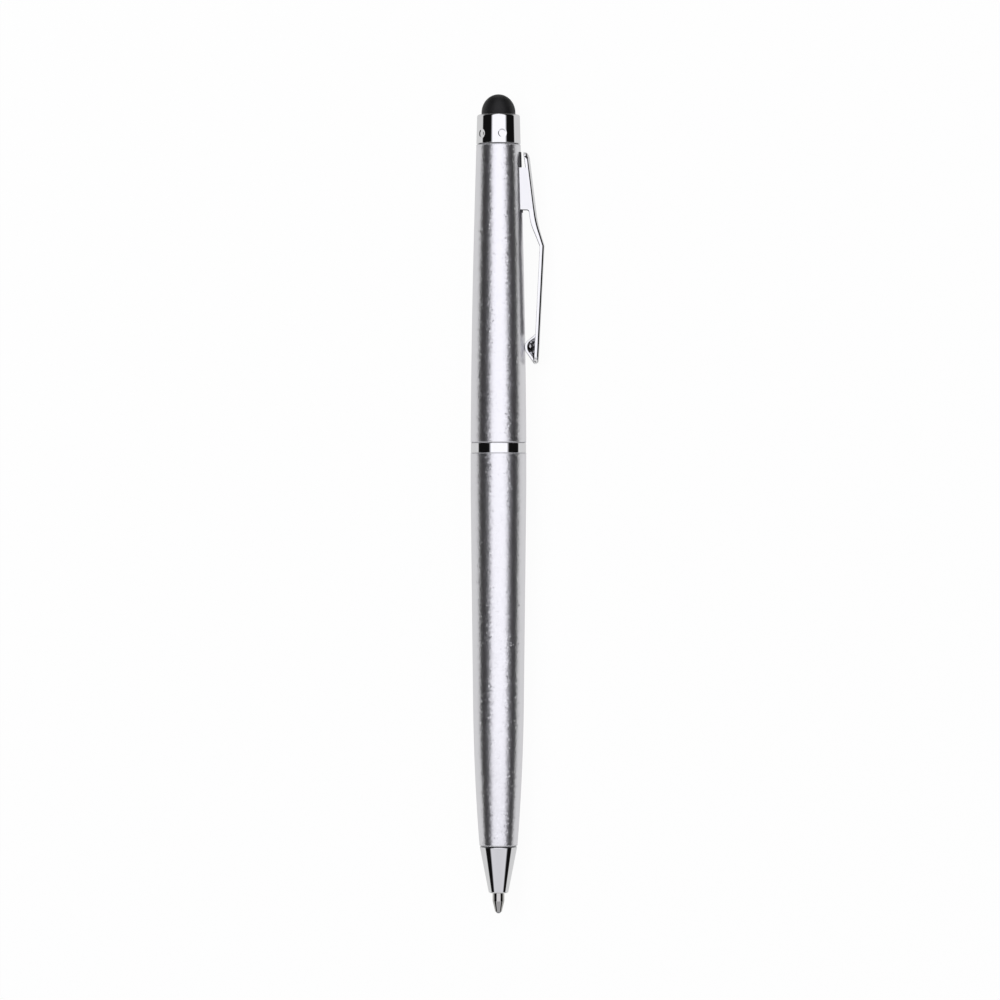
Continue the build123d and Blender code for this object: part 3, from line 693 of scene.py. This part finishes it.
def slot_prism():
    """Prism of the slot in the barrel's wall."""
    half = CLIP_WIDTH / 2 + SLOT_PLAY
    low, high = slot_low(), CLIP_HIGH
    corners = [(-half, low), (half, low), (half, high), (-half, high)]
    outline = rounded_line([(*corner, SLOT_CORNER) for corner in corners], closed=True)
    loops = []
    for reach in (UPPER_BORE / 2, 2 * GRIP_RADIUS):
        loops.append([(reach, across, along) for across, along in outline])
    return lofted("slot_cutter", loops, caps=True)


def lower_barrel():
    """Straight grip, then a slow cone to the waist, then a bullet-shaped end."""
    waist = LOWER_LOW + WAIST_HEIGHT
    outside = rounded_line([
        (LOWER_BORE, LOWER_HIGH),
        (GRIP_RADIUS, LOWER_HIGH, EDGE_ROUND),
        (GRIP_RADIUS, LOWER_HIGH - GRIP_LENGTH, GRIP_BLEND_RADIUS),
        (WAIST_RADIUS, waist),
    ], steps=2 * ARC_STEPS)
    tip = (BARREL_TIP_RADIUS, LOWER_LOW)
    bullet = tangent_arc(outside[-1], outside[-1] - outside[-2], tip, 6 * ARC_STEPS)
    end = rounded_line([
        bullet[-2],
        (BARREL_TIP_RADIUS, LOWER_LOW, BARREL_ROUND),
        (NOSE_SEAT_BORE, LOWER_LOW),
        (NOSE_SEAT_BORE, NOSE_HIGH),
        (LOWER_BORE, waist),
    ])
    mesh = turned("lower_barrel_skin", outside + bullet[:-2] + end)
    piece = place("lower_barrel_skin", mesh, "lower_half", "satin_barrel", SATIN, "lower_barrel")
    second_finish(piece, CUT_EDGE, lambda spot, normal: at_end(spot, normal, LOWER_LOW, LOWER_HIGH))


def center_ring():
    """Bright band between the two barrels."""
    radius = GRIP_RADIUS - RING_RECESS
    section = rounded_line([
        (JOURNAL_BORE, RING_LOW),
        (radius, RING_LOW, RING_ROUND),
        (radius, RING_HIGH, RING_ROUND),
        (JOURNAL_BORE, RING_HIGH),
    ], closed=True)
    mesh = turned("center_ring_band", section)
    place("center_ring_band", mesh, "lower_half", "bright_chrome", CHROME, "center_ring")


def nose_cone():
    """Cone with a rounded end, a spigot in the barrel and a chamber for the spring, the step at the seam
    darkened as painted shade.
    """
    spigot = NOSE_SEAT_BORE - SEAT
    cone_high = LOWER_LOW - NOSE_SEAM_WIDTH
    section = rounded_line([
        (NOSE_BORE, NOSE_LOW),
        (NOSE_END_RADIUS, NOSE_LOW, NOSE_END_ROUND),
        (NOSE_TOP_RADIUS, cone_high, EDGE_ROUND / 2),
        (spigot, cone_high),
        (spigot, NOSE_HIGH),
        (CHAMBER_RADIUS, NOSE_HIGH),
        (CHAMBER_RADIUS, SPRING_LOW),
        (NOSE_BORE, SPRING_LOW),
    ], closed=True)
    mesh = turned("nose_cone_skin", section)
    piece = place("nose_cone_skin", mesh, "lower_half", "bright_chrome", CHROME, "nose_cone")
    # Painted shade: the seam's step and the spigot get the dark metal
    second_finish(piece, SHADE_DARK_METAL, lambda spot, normal: spot.z > cone_high - SEAT)


# Stylus end

def dimpled(radius, height, angle):
    """Radius of the collar's wall with the crimp dimples pressed into it."""
    if radius < DIMPLE_BASE:
        return radius
    step = 2 * pi / DIMPLE_COUNT
    around = ((angle - DIMPLE_PHASE + step / 2) % step - step / 2) * radius
    distance = hypot(around, height - COLLAR_LOW - DIMPLE_RISE)
    pressed = smooth((DIMPLE_RADIUS - distance) / (DIMPLE_RADIUS - DIMPLE_FLOOR_RADIUS))
    return radius - DIMPLE_DEPTH * pressed


def stylus_collar():
    """Collar with a rounded shoulder and a lip over the dome's skirt, crimped by dimples."""
    lip_bore = DOME_RADIUS + SEAT
    lip_base = COLLAR_HIGH - LIP_THICKNESS
    low = COLLAR_LOW + SEAM_WIDTH
    wall = rounded_line([
        (COLLAR_BORE, low),
        (BARREL_TOP_RADIUS, low, EDGE_ROUND / 2),
        (COLLAR_TOP_RADIUS, COLLAR_HIGH, SHOULDER_ROUND),
        (lip_bore, COLLAR_HIGH),
        (lip_bore, lip_base),
        (COLLAR_BORE, lip_base),
    ], closed=True, steps=2 * ARC_STEPS)
    section = []
    for start, end in zip(wall, wall[1:] + wall[:1]):
        section.append(start)
        length = (end - start).length
        if min(start.x, end.x) > DIMPLE_BASE and length > DIMPLE_FLOOR_RADIUS:
            pieces = ceil(length / DIMPLE_STEP)
            section += [start.lerp(end, step / pieces) for step in range(1, pieces)]
    mesh = turned("stylus_collar_shell", section, FINE_SEGMENTS, displace=dimpled)
    place("stylus_collar_shell", mesh, "upper_half", "bright_chrome", CHROME, "stylus_collar")


def dome_line(radius, crown, steps):
    """Quarter ellipse over the dome's straight foot, from its edge to a crown on the axis."""
    base = COLLAR_HIGH + DOME_STRAIGHT
    line = []
    for step in range(steps + 1):
        angle = pi / 2 * step / steps
        line.append(Vector((radius * cos(angle), base + (crown - base) * sin(angle))))
    return line


def stylus_tip():
    """Hollow rubber dome with a skirt that the collar's lip holds down."""
    skirt = COLLAR_BORE - SEAT
    skirt_high = COLLAR_HIGH - LIP_THICKNESS - SEAT
    inside = dome_line(DOME_BORE, DOME_HIGH - RUBBER_WALL, 3 * ARC_STEPS)
    foot = [
        (DOME_BORE, SKIRT_LOW),
        (skirt, SKIRT_LOW),
        (skirt, skirt_high),
        (DOME_RADIUS, skirt_high),
    ]
    section = inside[::-1] + [Vector(point) for point in foot]
    section += dome_line(DOME_RADIUS, DOME_HIGH, 5 * ARC_STEPS)
    mesh = turned("stylus_dome", section, closed=False)
    place("stylus_dome", mesh, "upper_half", "stylus_rubber", RUBBER, "stylus_tip")


# Refill's writing tip

def refill_tip():
    """Turned tip: shank in the tube, flange for the spring, stem, cone and ball socket."""
    ball_radius = (BALL_HIGH - BALL_LOW) / 2
    socket = ball_radius + SEAT
    middle = BALL_LOW + ball_radius
    lip = sqrt(socket ** 2 - (middle - TIP_LOW) ** 2)
    neck = middle + sqrt(socket ** 2 - FEED_RADIUS ** 2)
    flange_low = SPRING_HIGH + SEAT
    cup = []
    start, end = -asin((middle - TIP_LOW) / socket), asin((neck - middle) / socket)
    for step in range(2 * ARC_STEPS + 1):
        angle = start + (end - start) * step / (2 * ARC_STEPS)
        cup.append((socket * cos(angle), middle + socket * sin(angle)))
    outside = rounded_line([
        (FEED_RADIUS, TIP_HIGH),
        (SHANK_RADIUS, TIP_HIGH, EDGE_ROUND),
        (SHANK_RADIUS, TUBE_LOW),
        (FLANGE_RADIUS, TUBE_LOW, EDGE_ROUND / 2),
        (FLANGE_RADIUS, flange_low, EDGE_ROUND / 2),
        (STEM_RADIUS, flange_low),
        (STEM_RADIUS, TIP_LOW + NIB_CONE_LENGTH, EDGE_ROUND),
        (NIB_FACE_RADIUS, TIP_LOW, EDGE_ROUND / 4),
        (lip, TIP_LOW),
    ])
    section = outside + [Vector(point) for point in cup[1:]]
    mesh = turned("refill_point", section)
    place("refill_point", mesh, "refill", "nickel_silver", NICKEL, "refill_tip")


def refill_ball():
    """Writing ball in the tip's socket."""
    radius = (BALL_HIGH - BALL_LOW) / 2
    section = []
    for step in range(6 * ARC_STEPS + 1):
        angle = pi * step / (6 * ARC_STEPS) - pi / 2
        section.append(Vector((radius * cos(angle), BALL_LOW + radius + radius * sin(angle))))
    mesh = turned("writing_ball", section, SEGMENTS // 2, closed=False)
    place("writing_ball", mesh, "refill", "carbide", CARBIDE, "refill_ball")


# Pocket clip

def clip_back_line():
    """Outer line of the clip in its own plane, from its top to its end."""
    knee = CLIP_HIGH - CLIP_KNEE_DROP
    bend = CLIP_HIGH - CLIP_BEND_DROP
    return rounded_line([
        (upper_barrel_radius(CLIP_HIGH) + CLIP_TOP_STANDOFF, CLIP_HIGH),
        (upper_barrel_radius(knee) + CLIP_KNEE_STANDOFF, knee, CLIP_KNEE_RADIUS),
        (upper_barrel_radius(bend) + CLIP_BEND_STANDOFF, bend, CLIP_BEND_RADIUS),
        (upper_barrel_radius(CLIP_LOW) + CLIP_END_STANDOFF, CLIP_LOW),
    ], steps=2 * ARC_STEPS)


BACK_LINE = clip_back_line()


def clip_reach(height):
    """Distance of the clip's outer skin from the pen's axis at a height."""
    for above, below in zip(BACK_LINE, BACK_LINE[1:]):
        if height >= below.y:
            return above.x + (below.x - above.x) * (above.y - height) / (above.y - below.y)
    return BACK_LINE[-1].x


def clip_form(height):
    """Depth and spread of the back's rounding and depth of the side walls at a height."""
    over_bend = height - (CLIP_HIGH - CLIP_BEND_DROP)
    crowned = smooth(over_bend / CROWN_FADE)
    depth = SHOULDER_DEPTH + (CROWN_DEPTH - SHOULDER_DEPTH) * crowned
    spread = SHOULDER_SPREAD + (CROWN_SPREAD - SHOULDER_SPREAD) * crowned
    down_foot = smooth((CLIP_HIGH - FOOT_DROP - height) / FOOT_LENGTH)
    high_wall = TOP_WALL + (CROWN_WALL - TOP_WALL) * down_foot
    wall = SHOULDER_WALL + (high_wall - SHOULDER_WALL) * smooth(2 * over_bend / CROWN_FADE)
    return depth, spread, wall


def wall_edge(height):
    """Distance of a side wall's inner edge from the pen's axis at a height."""
    return clip_reach(height) - clip_form(height)[2]


def clip_side_line():
    """Inner edge of a side wall from the clip's top to its end, as (reach, height), with the foot."""
    foot_high = CLIP_HIGH - FOOT_DROP
    foot_low = foot_high - FOOT_LENGTH
    start, end = CLIP_HIGH - CLIP_END_ROUND, CLIP_LOW + CLIP_END_ROUND
    corners = [
        (wall_edge(start), start),
        (wall_edge(foot_high), foot_high),
        (FOOT_INNER, foot_high, FOOT_CORNER),
        (FOOT_INNER, foot_low, FOOT_CORNER),
        (wall_edge(foot_low), foot_low, FOOT_ROUND),
    ]
    for spot in BACK_LINE:
        if end < spot.y < foot_low - FOOT_ROUND:
            corners.append((wall_edge(spot.y), spot.y))
    corners.append((wall_edge(end), end))
    return rounded_line(corners)


def clip_rows():
    """Half of the clip's outline seen from outside: (across, height, inward normal, wall's edge)."""
    half = CLIP_WIDTH / 2
    steps = 2 * ARC_STEPS
    ends = [(0, 1, 0)]
    for step in range(steps + 1):
        angle = pi / 2 * step / steps
        ends.append((half - CLIP_END_ROUND + CLIP_END_ROUND * sin(angle), cos(angle), sin(angle)))
    rows = []
    for across, lift, spread in ends[:-1]:
        height = CLIP_HIGH - CLIP_END_ROUND * (1 - lift)
        rows.append((across, height, (-spread, -lift), wall_edge(height)))
    for reach, height in clip_side_line():
        rows.append((half, height, (-1, 0), reach))
    for across, lift, spread in ends[-2::-1]:
        height = CLIP_LOW + CLIP_END_ROUND * (1 - lift)
        rows.append((across, height, (-spread, lift), wall_edge(height)))
    return rows


def clip_loop(across, height, inward, edge):
    """Closed section of the clip at one place of its outline, mirrored on its other side."""
    def spot(inset, drop=None, reach=None):
        along = height + inward[1] * inset
        out = clip_reach(along) - drop if reach is None else reach
        return (out, across + inward[0] * inset, along)

    depth, spread, _ = clip_form(height)
    steps = 2 * ARC_STEPS
    half = []
    for step in range(steps + 1):
        angle = pi / 2 * (1 - step / steps)
        half.append(spot(spread * (1 - cos(angle)), drop=depth * (1 - sin(angle))))
    half.append(spot(0, reach=edge + CLIP_EDGE))
    half.append(spot(CLIP_EDGE, reach=edge))
    half.append(spot(CLIP_THICKNESS - CLIP_EDGE, reach=edge))
    half.append(spot(CLIP_THICKNESS, reach=edge + CLIP_EDGE))
    half.append(spot(CLIP_THICKNESS, drop=CLIP_THICKNESS + CLIP_INSIDE_ROUND))
    half.append(spot(CLIP_THICKNESS + CLIP_INSIDE_ROUND, drop=CLIP_THICKNESS))
    other = [(reach, -side, along) for reach, side, along in half]
    return half + other[::-1]


def inside_clip(spot, normal):
    """Whether a face of the clip lies inside its channel, where its shade is painted."""
    under_back = normal.x < -FACING and abs(spot.y) < CLIP_WIDTH / 2 - CLIP_THICKNESS
    inner_side = normal.y * spot.y < -FACING * abs(spot.y)
    return under_back or inner_side


def clip():
    """Formed channel with a crowned back and a foot that enters the barrel's slot, with painted shade
    inside and in its notches.
    """
    mesh = lofted("pocket_clip_channel", [clip_loop(*row) for row in clip_rows()])
    for side in (-1, 1):
        mesh = cut(mesh, notch_prism(side))
    piece = place("pocket_clip_channel", mesh, "clip", "bright_chrome", CHROME, "clip")
    # Painted shade: dark metal inside the channel
    second_finish(piece, SHADE_DARK_METAL, inside_clip)
    # Painted shade: near-black rubber on the notch floors
    second_finish(piece, SEAL_AND_NOTCH_SHADE, in_notch)
    second_finish(piece, SOFT_CHROME, on_foot)


def notch_prism(side):
    """Prism of the relief notch in one side wall."""
    loops = []
    for across in (CLIP_WIDTH / 2 - NOTCH_DEPTH, CLIP_WIDTH):
        loop = []
        for inward, drop in NOTCH:
            height = CLIP_HIGH - drop
            loop.append((clip_reach(height) - inward, side * across, height))
        loops.append(loop)
    return lofted("notch_cutter", loops, caps=True)


def on_foot(spot, normal):
    """Whether a face of the clip lies on the outer side of its foot."""
    foot_high = CLIP_HIGH - FOOT_DROP
    beside_slot = foot_high - FOOT_LENGTH < spot.z < foot_high
    below_back = spot.x < clip_reach(spot.z) - CROWN_DEPTH
    return beside_slot and below_back and normal.y * spot.y > FLAT_ON * abs(spot.y)


def in_notch(spot, normal):
    """Whether a face of the clip lies in one of the relief notches, whose floors get painted shade."""
    drops = [drop for _, drop in NOTCH]
    inwards = [inward for inward, _ in NOTCH]
    inward = clip_reach(spot.z) - spot.x
    floor = CLIP_WIDTH / 2 - NOTCH_DEPTH
    within = min(drops) < CLIP_HIGH - spot.z < max(drops) and min(inwards) < inward < max(inwards)
    return within and abs(abs(spot.y) - floor) < SEAT / 2 and abs(normal.y) > FLAT_ON


def boss_outline():
    """Outline of the boss as (reach, height): a rounded bow towards the barrel, its back in the clip."""
    low, high = CLIP_LOW + SEAT, CLIP_LOW + BOSS_LENGTH
    shoulder, heel = CLIP_LOW + BOSS_SHOULDER, CLIP_LOW + BOSS_HEEL
    line = rounded_line([
        (wall_edge(high) + SEAT, high),
        (upper_barrel_radius(shoulder) + BOSS_GAP, shoulder, BOSS_ROUND),
        (upper_barrel_radius(heel) + BOSS_GAP, heel, BOSS_ROUND),
        (wall_edge(low) + SEAT, low),
    ], steps=2 * ARC_STEPS)
    inside = [Vector((clip_reach(end) - BOSS_SINK, end)) for end in (low, high)]
    line = [spot for spot in with_steps(line) if spot.x < inside[0].x]
    return line + inside


def with_steps(line):
    """Line with its runs divided into short steps."""
    points = []
    for start, end in zip(line, line[1:]):
        pieces = ceil((end - start).length / BOSS_STEP)
        points += [start.lerp(end, step / pieces) for step in range(pieces)]
    return points + [line[-1]]


def clip_half_width(height):
    """Half of the clip's width at a height, narrower at its rounded end."""
    short = max(CLIP_END_ROUND - (height - CLIP_LOW), 0)
    return CLIP_WIDTH / 2 - CLIP_END_ROUND + sqrt(CLIP_END_ROUND ** 2 - short ** 2)


def in_boss_hollow(spot, normal):
    """Whether a face of the boss lies in the hollow of one of its sides, where its shade is painted."""
    low, high = BOSS_HALF_WIDTH - BOSS_HOLLOW - SEAT, BOSS_HALF_WIDTH - SEAT
    return low < abs(spot.y) < high and abs(normal.y) > FACING


def clip_boss():
    """Boss at the clip's end, saddled to the barrel, with a hollow in each side that falls to a line."""
    outline = boss_outline()
    apex = min(point.x for point in outline)
    middle = CLIP_LOW + (BOSS_SHOULDER + BOSS_HEEL) / 2
    line_reach = wall_edge(middle) + BOSS_EDGE / 2
    line_half = BOSS_LENGTH / 4

    def loop(inset, side):
        ring = []
        for point in outline:
            along = min(max(point.y - middle, -line_half), line_half)
            away = Vector((line_reach, middle + along)) - point
            spot = point + away * min(inset / away.length, 1)
            across = min(side, clip_half_width(spot.y) - SEAT)
            radius = upper_barrel_radius(spot.y)
            saddle = radius - sqrt(radius ** 2 - across ** 2)
            near_barrel = smooth((line_reach - spot.x) / (line_reach - apex))
            ring.append((spot.x - saddle * near_barrel, across, spot.y))
        return ring

    near = [loop(0, BOSS_HALF_WIDTH * step / BOSS_STRIPS) for step in range(BOSS_STRIPS - 1)]
    for step in range(ARC_STEPS + 1):
        angle = pi / 2 * step / ARC_STEPS
        near.append(loop(BOSS_EDGE * (1 - cos(angle)), BOSS_HALF_WIDTH - BOSS_EDGE * (1 - sin(angle))))
    lip = BOSS_EDGE / 3
    near.append(loop(BOSS_RIM, BOSS_HALF_WIDTH))
    near.append(loop(BOSS_RIM + lip, BOSS_HALF_WIDTH - lip / 2))
    near.append(loop(line_reach - apex - lip, BOSS_HALF_WIDTH - BOSS_HOLLOW))
    far = [[(reach, -side, height) for reach, side, height in ring] for ring in near[:0:-1]]
    mesh = lofted("pocket_clip_boss", far + near, caps=True)
    piece = place("pocket_clip_boss", mesh, "clip", "bright_chrome", CHROME)
    # Painted shade: darker plating in the hollows
    second_finish(piece, HOLLOW_SHADE_METAL, in_boss_hollow)
    for face in piece.data.polygons:
        face.use_smooth = face.material_index == 0


# The picture

def camera():
    """Camera square to the clip's plane, with the pen upright in the picture."""
    data = bpy.data.cameras.new("camera")
    data.sensor_width = SENSOR_WIDTH
    data.lens = SENSOR_WIDTH * CAMERA_DISTANCE / PICTURE_WIDTH
    data.clip_start, data.clip_end = CAMERA_NEAR, CAMERA_FAR
    item = add_object("camera", data)
    across, along = PICTURE_MIDDLE
    target = PEN @ Vector((across, 0, along))
    turn = Matrix((CLIP_SIDE, ALONG, TO_CAMERA)).transposed().to_4x4()
    item.matrix_world = Matrix.Translation(target + TO_CAMERA * CAMERA_DISTANCE) @ turn
    bpy.context.scene.camera = item


def studio():
    """World of a product studio: a broad white panel over the pen, dark flags beside it, pale table."""
    world = bpy.data.worlds.new("studio")
    bpy.context.scene.world = world
    world.use_nodes = True
    nodes = Nodes(world.node_tree)
    world.node_tree.nodes.clear()
    direction = nodes.add("ShaderNodeTexCoord").outputs["Generated"]
    side = nodes.vector("DOT_PRODUCT", direction, tuple(CLIP_SIDE))
    front = nodes.vector("DOT_PRODUCT", direction, tuple(TO_CAMERA))
    along = nodes.vector("DOT_PRODUCT", direction, tuple(ALONG))
    turn = nodes.math("ARCTAN2", side, front)
    angle = nodes.math("ABSOLUTE", turn)
    from_panel = nodes.math("ABSOLUTE", nodes.math("SUBTRACT", turn, PANEL_SHIFT))
    panel_edge = nodes.fit(along, *PANEL_FLARE, PANEL_NIB_EDGE, PANEL_EDGE)
    past_edge = nodes.math("SUBTRACT", from_panel, panel_edge)
    panel = nodes.fit(past_edge, -PANEL_SOFT, PANEL_SOFT, PANEL_GLOW, 0, eased=True)
    panel = nodes.math("MULTIPLY", panel, nodes.fit(along, *PANEL_FADE, PANEL_FADE_SHARE, 1))
    panel = nodes.math("MULTIPLY", panel, nodes.fit(along, *PANEL_END, PANEL_END_SHARE, 1))
    table = nodes.fit(angle, TABLE_EDGE - TABLE_SOFT, TABLE_EDGE + TABLE_SOFT, 0, TABLE_GLOW, eased=True)
    table_end = nodes.fit(nodes.math("ABSOLUTE", along), *TABLE_END, 1, TABLE_END_SHARE)
    table_end = nodes.math("MAXIMUM", table_end, nodes.fit(angle, *TABLE_UNDER, 0, 1))
    table = nodes.math("MULTIPLY", table, table_end)
    rest = nodes.math("MAXIMUM", table, DARK_GLOW)
    nib_pole = nodes.fit(along, *NIB_POLE, NIB_POLE_GLOW, 0)
    nib_pole = nodes.math("MULTIPLY", nib_pole, nodes.fit(along, *NIB_FAR, NIB_FAR_SHARE, 1))
    rest = nodes.math("MAXIMUM", rest, nib_pole)
    rest = nodes.math("MAXIMUM", rest, nodes.fit(along, *DOME_POLE, 0, DOME_POLE_GLOW))
    rest = nodes.math("MAXIMUM", rest, nodes.add("ShaderNodeLightPath").outputs["Is Camera Ray"])
    both = nodes.add("ShaderNodeAddShader")
    for number, (colour, glow) in enumerate(((PANEL_TINT, panel), (WHITE, rest))):
        light = nodes.add("ShaderNodeBackground")
        light.inputs["Color"].default_value = colour
        nodes.link(glow, light.inputs["Strength"])
        nodes.link(light.outputs[0], both.inputs[number])
    nodes.link(both.outputs[0], nodes.add("ShaderNodeOutputWorld").inputs["Surface"])


def floor():
    """Pale table: it shows the pen's soft shadow and is otherwise white to the camera."""
    low = -SEAT / 2
    ends = (-FLOOR_HALF, FLOOR_HALF)
    mesh = bpy.data.meshes.new("table")
    mesh.from_pydata([(x, y, low) for x in ends for y in ends], [], [(0, 2, 3, 1)])
    item = add_object("table", mesh)
    material, nodes, shader = new_material("table_white", roughness=FLOOR_ROUGHNESS)
    shader.inputs["Base Color"].default_value = FLOOR_COLOUR
    shader.inputs["Specular IOR Level"].default_value = 0
    glow = nodes.add("ShaderNodeEmission")
    mix = nodes.add("ShaderNodeMixShader")
    seen = nodes.add("ShaderNodeLightPath").outputs["Is Camera Ray"]
    nodes.link(nodes.math("MULTIPLY", seen, FLOOR_WHITE), mix.inputs[0])
    nodes.link(shader.outputs[0], mix.inputs[1])
    nodes.link(glow.outputs[0], mix.inputs[2])
    nodes.link(mix.outputs[0], material.node_tree.nodes["Material Output"].inputs["Surface"])
    mesh.materials.append(material)
    item.visible_glossy = False


def fill_light():
    """Soft overhead light for the matt pieces and the shadow."""
    data = bpy.data.lights.new("fill", "AREA")
    data.energy = FILL_POWER
    data.size = FILL_SIZE
    item = add_object("fill", data)
    item.location = FILL_PLACE
    item.rotation_mode = "QUATERNION"
    item.rotation_quaternion = (-FILL_PLACE).to_track_quat("-Z", "Y")
    item.visible_glossy = False
    item.visible_camera = False


# Finishes of the CAD nodes that are shown as they are
CAD_FINISH = {
    "stylus_core": DARK_PLASTIC,
    "clip_anchor": DARK_PLASTIC,
    "friction_ring": SEAL_AND_NOTCH_SHADE,
    "barrel_bush": BRASS,
    "guide_tube": BRASS,
    "cam_sleeve": BRASS,
    "return_spring": STEEL,
    "retaining_ring": STEEL,
    "cam_pin": STEEL,
    "drive_sleeve": NYLON,
    "plunger": NYLON,
    "refill_plug": NYLON,
    "refill_tube": CLEAR_TUBE,
    "ink_column": INK,
}

# The whole scene
camera()
studio()
floor()
fill_light()
upper_barrel()
lower_barrel()
center_ring()
nose_cone()
stylus_collar()
stylus_tip()
refill_tip()
refill_ball()
clip()
clip_boss()
for node, finish in CAD_FINISH.items():
    materials = frame["nodes"][node].data.materials
    materials.clear()
    materials.append(finish)

bpy.context.scene.view_settings.view_transform = "Standard"
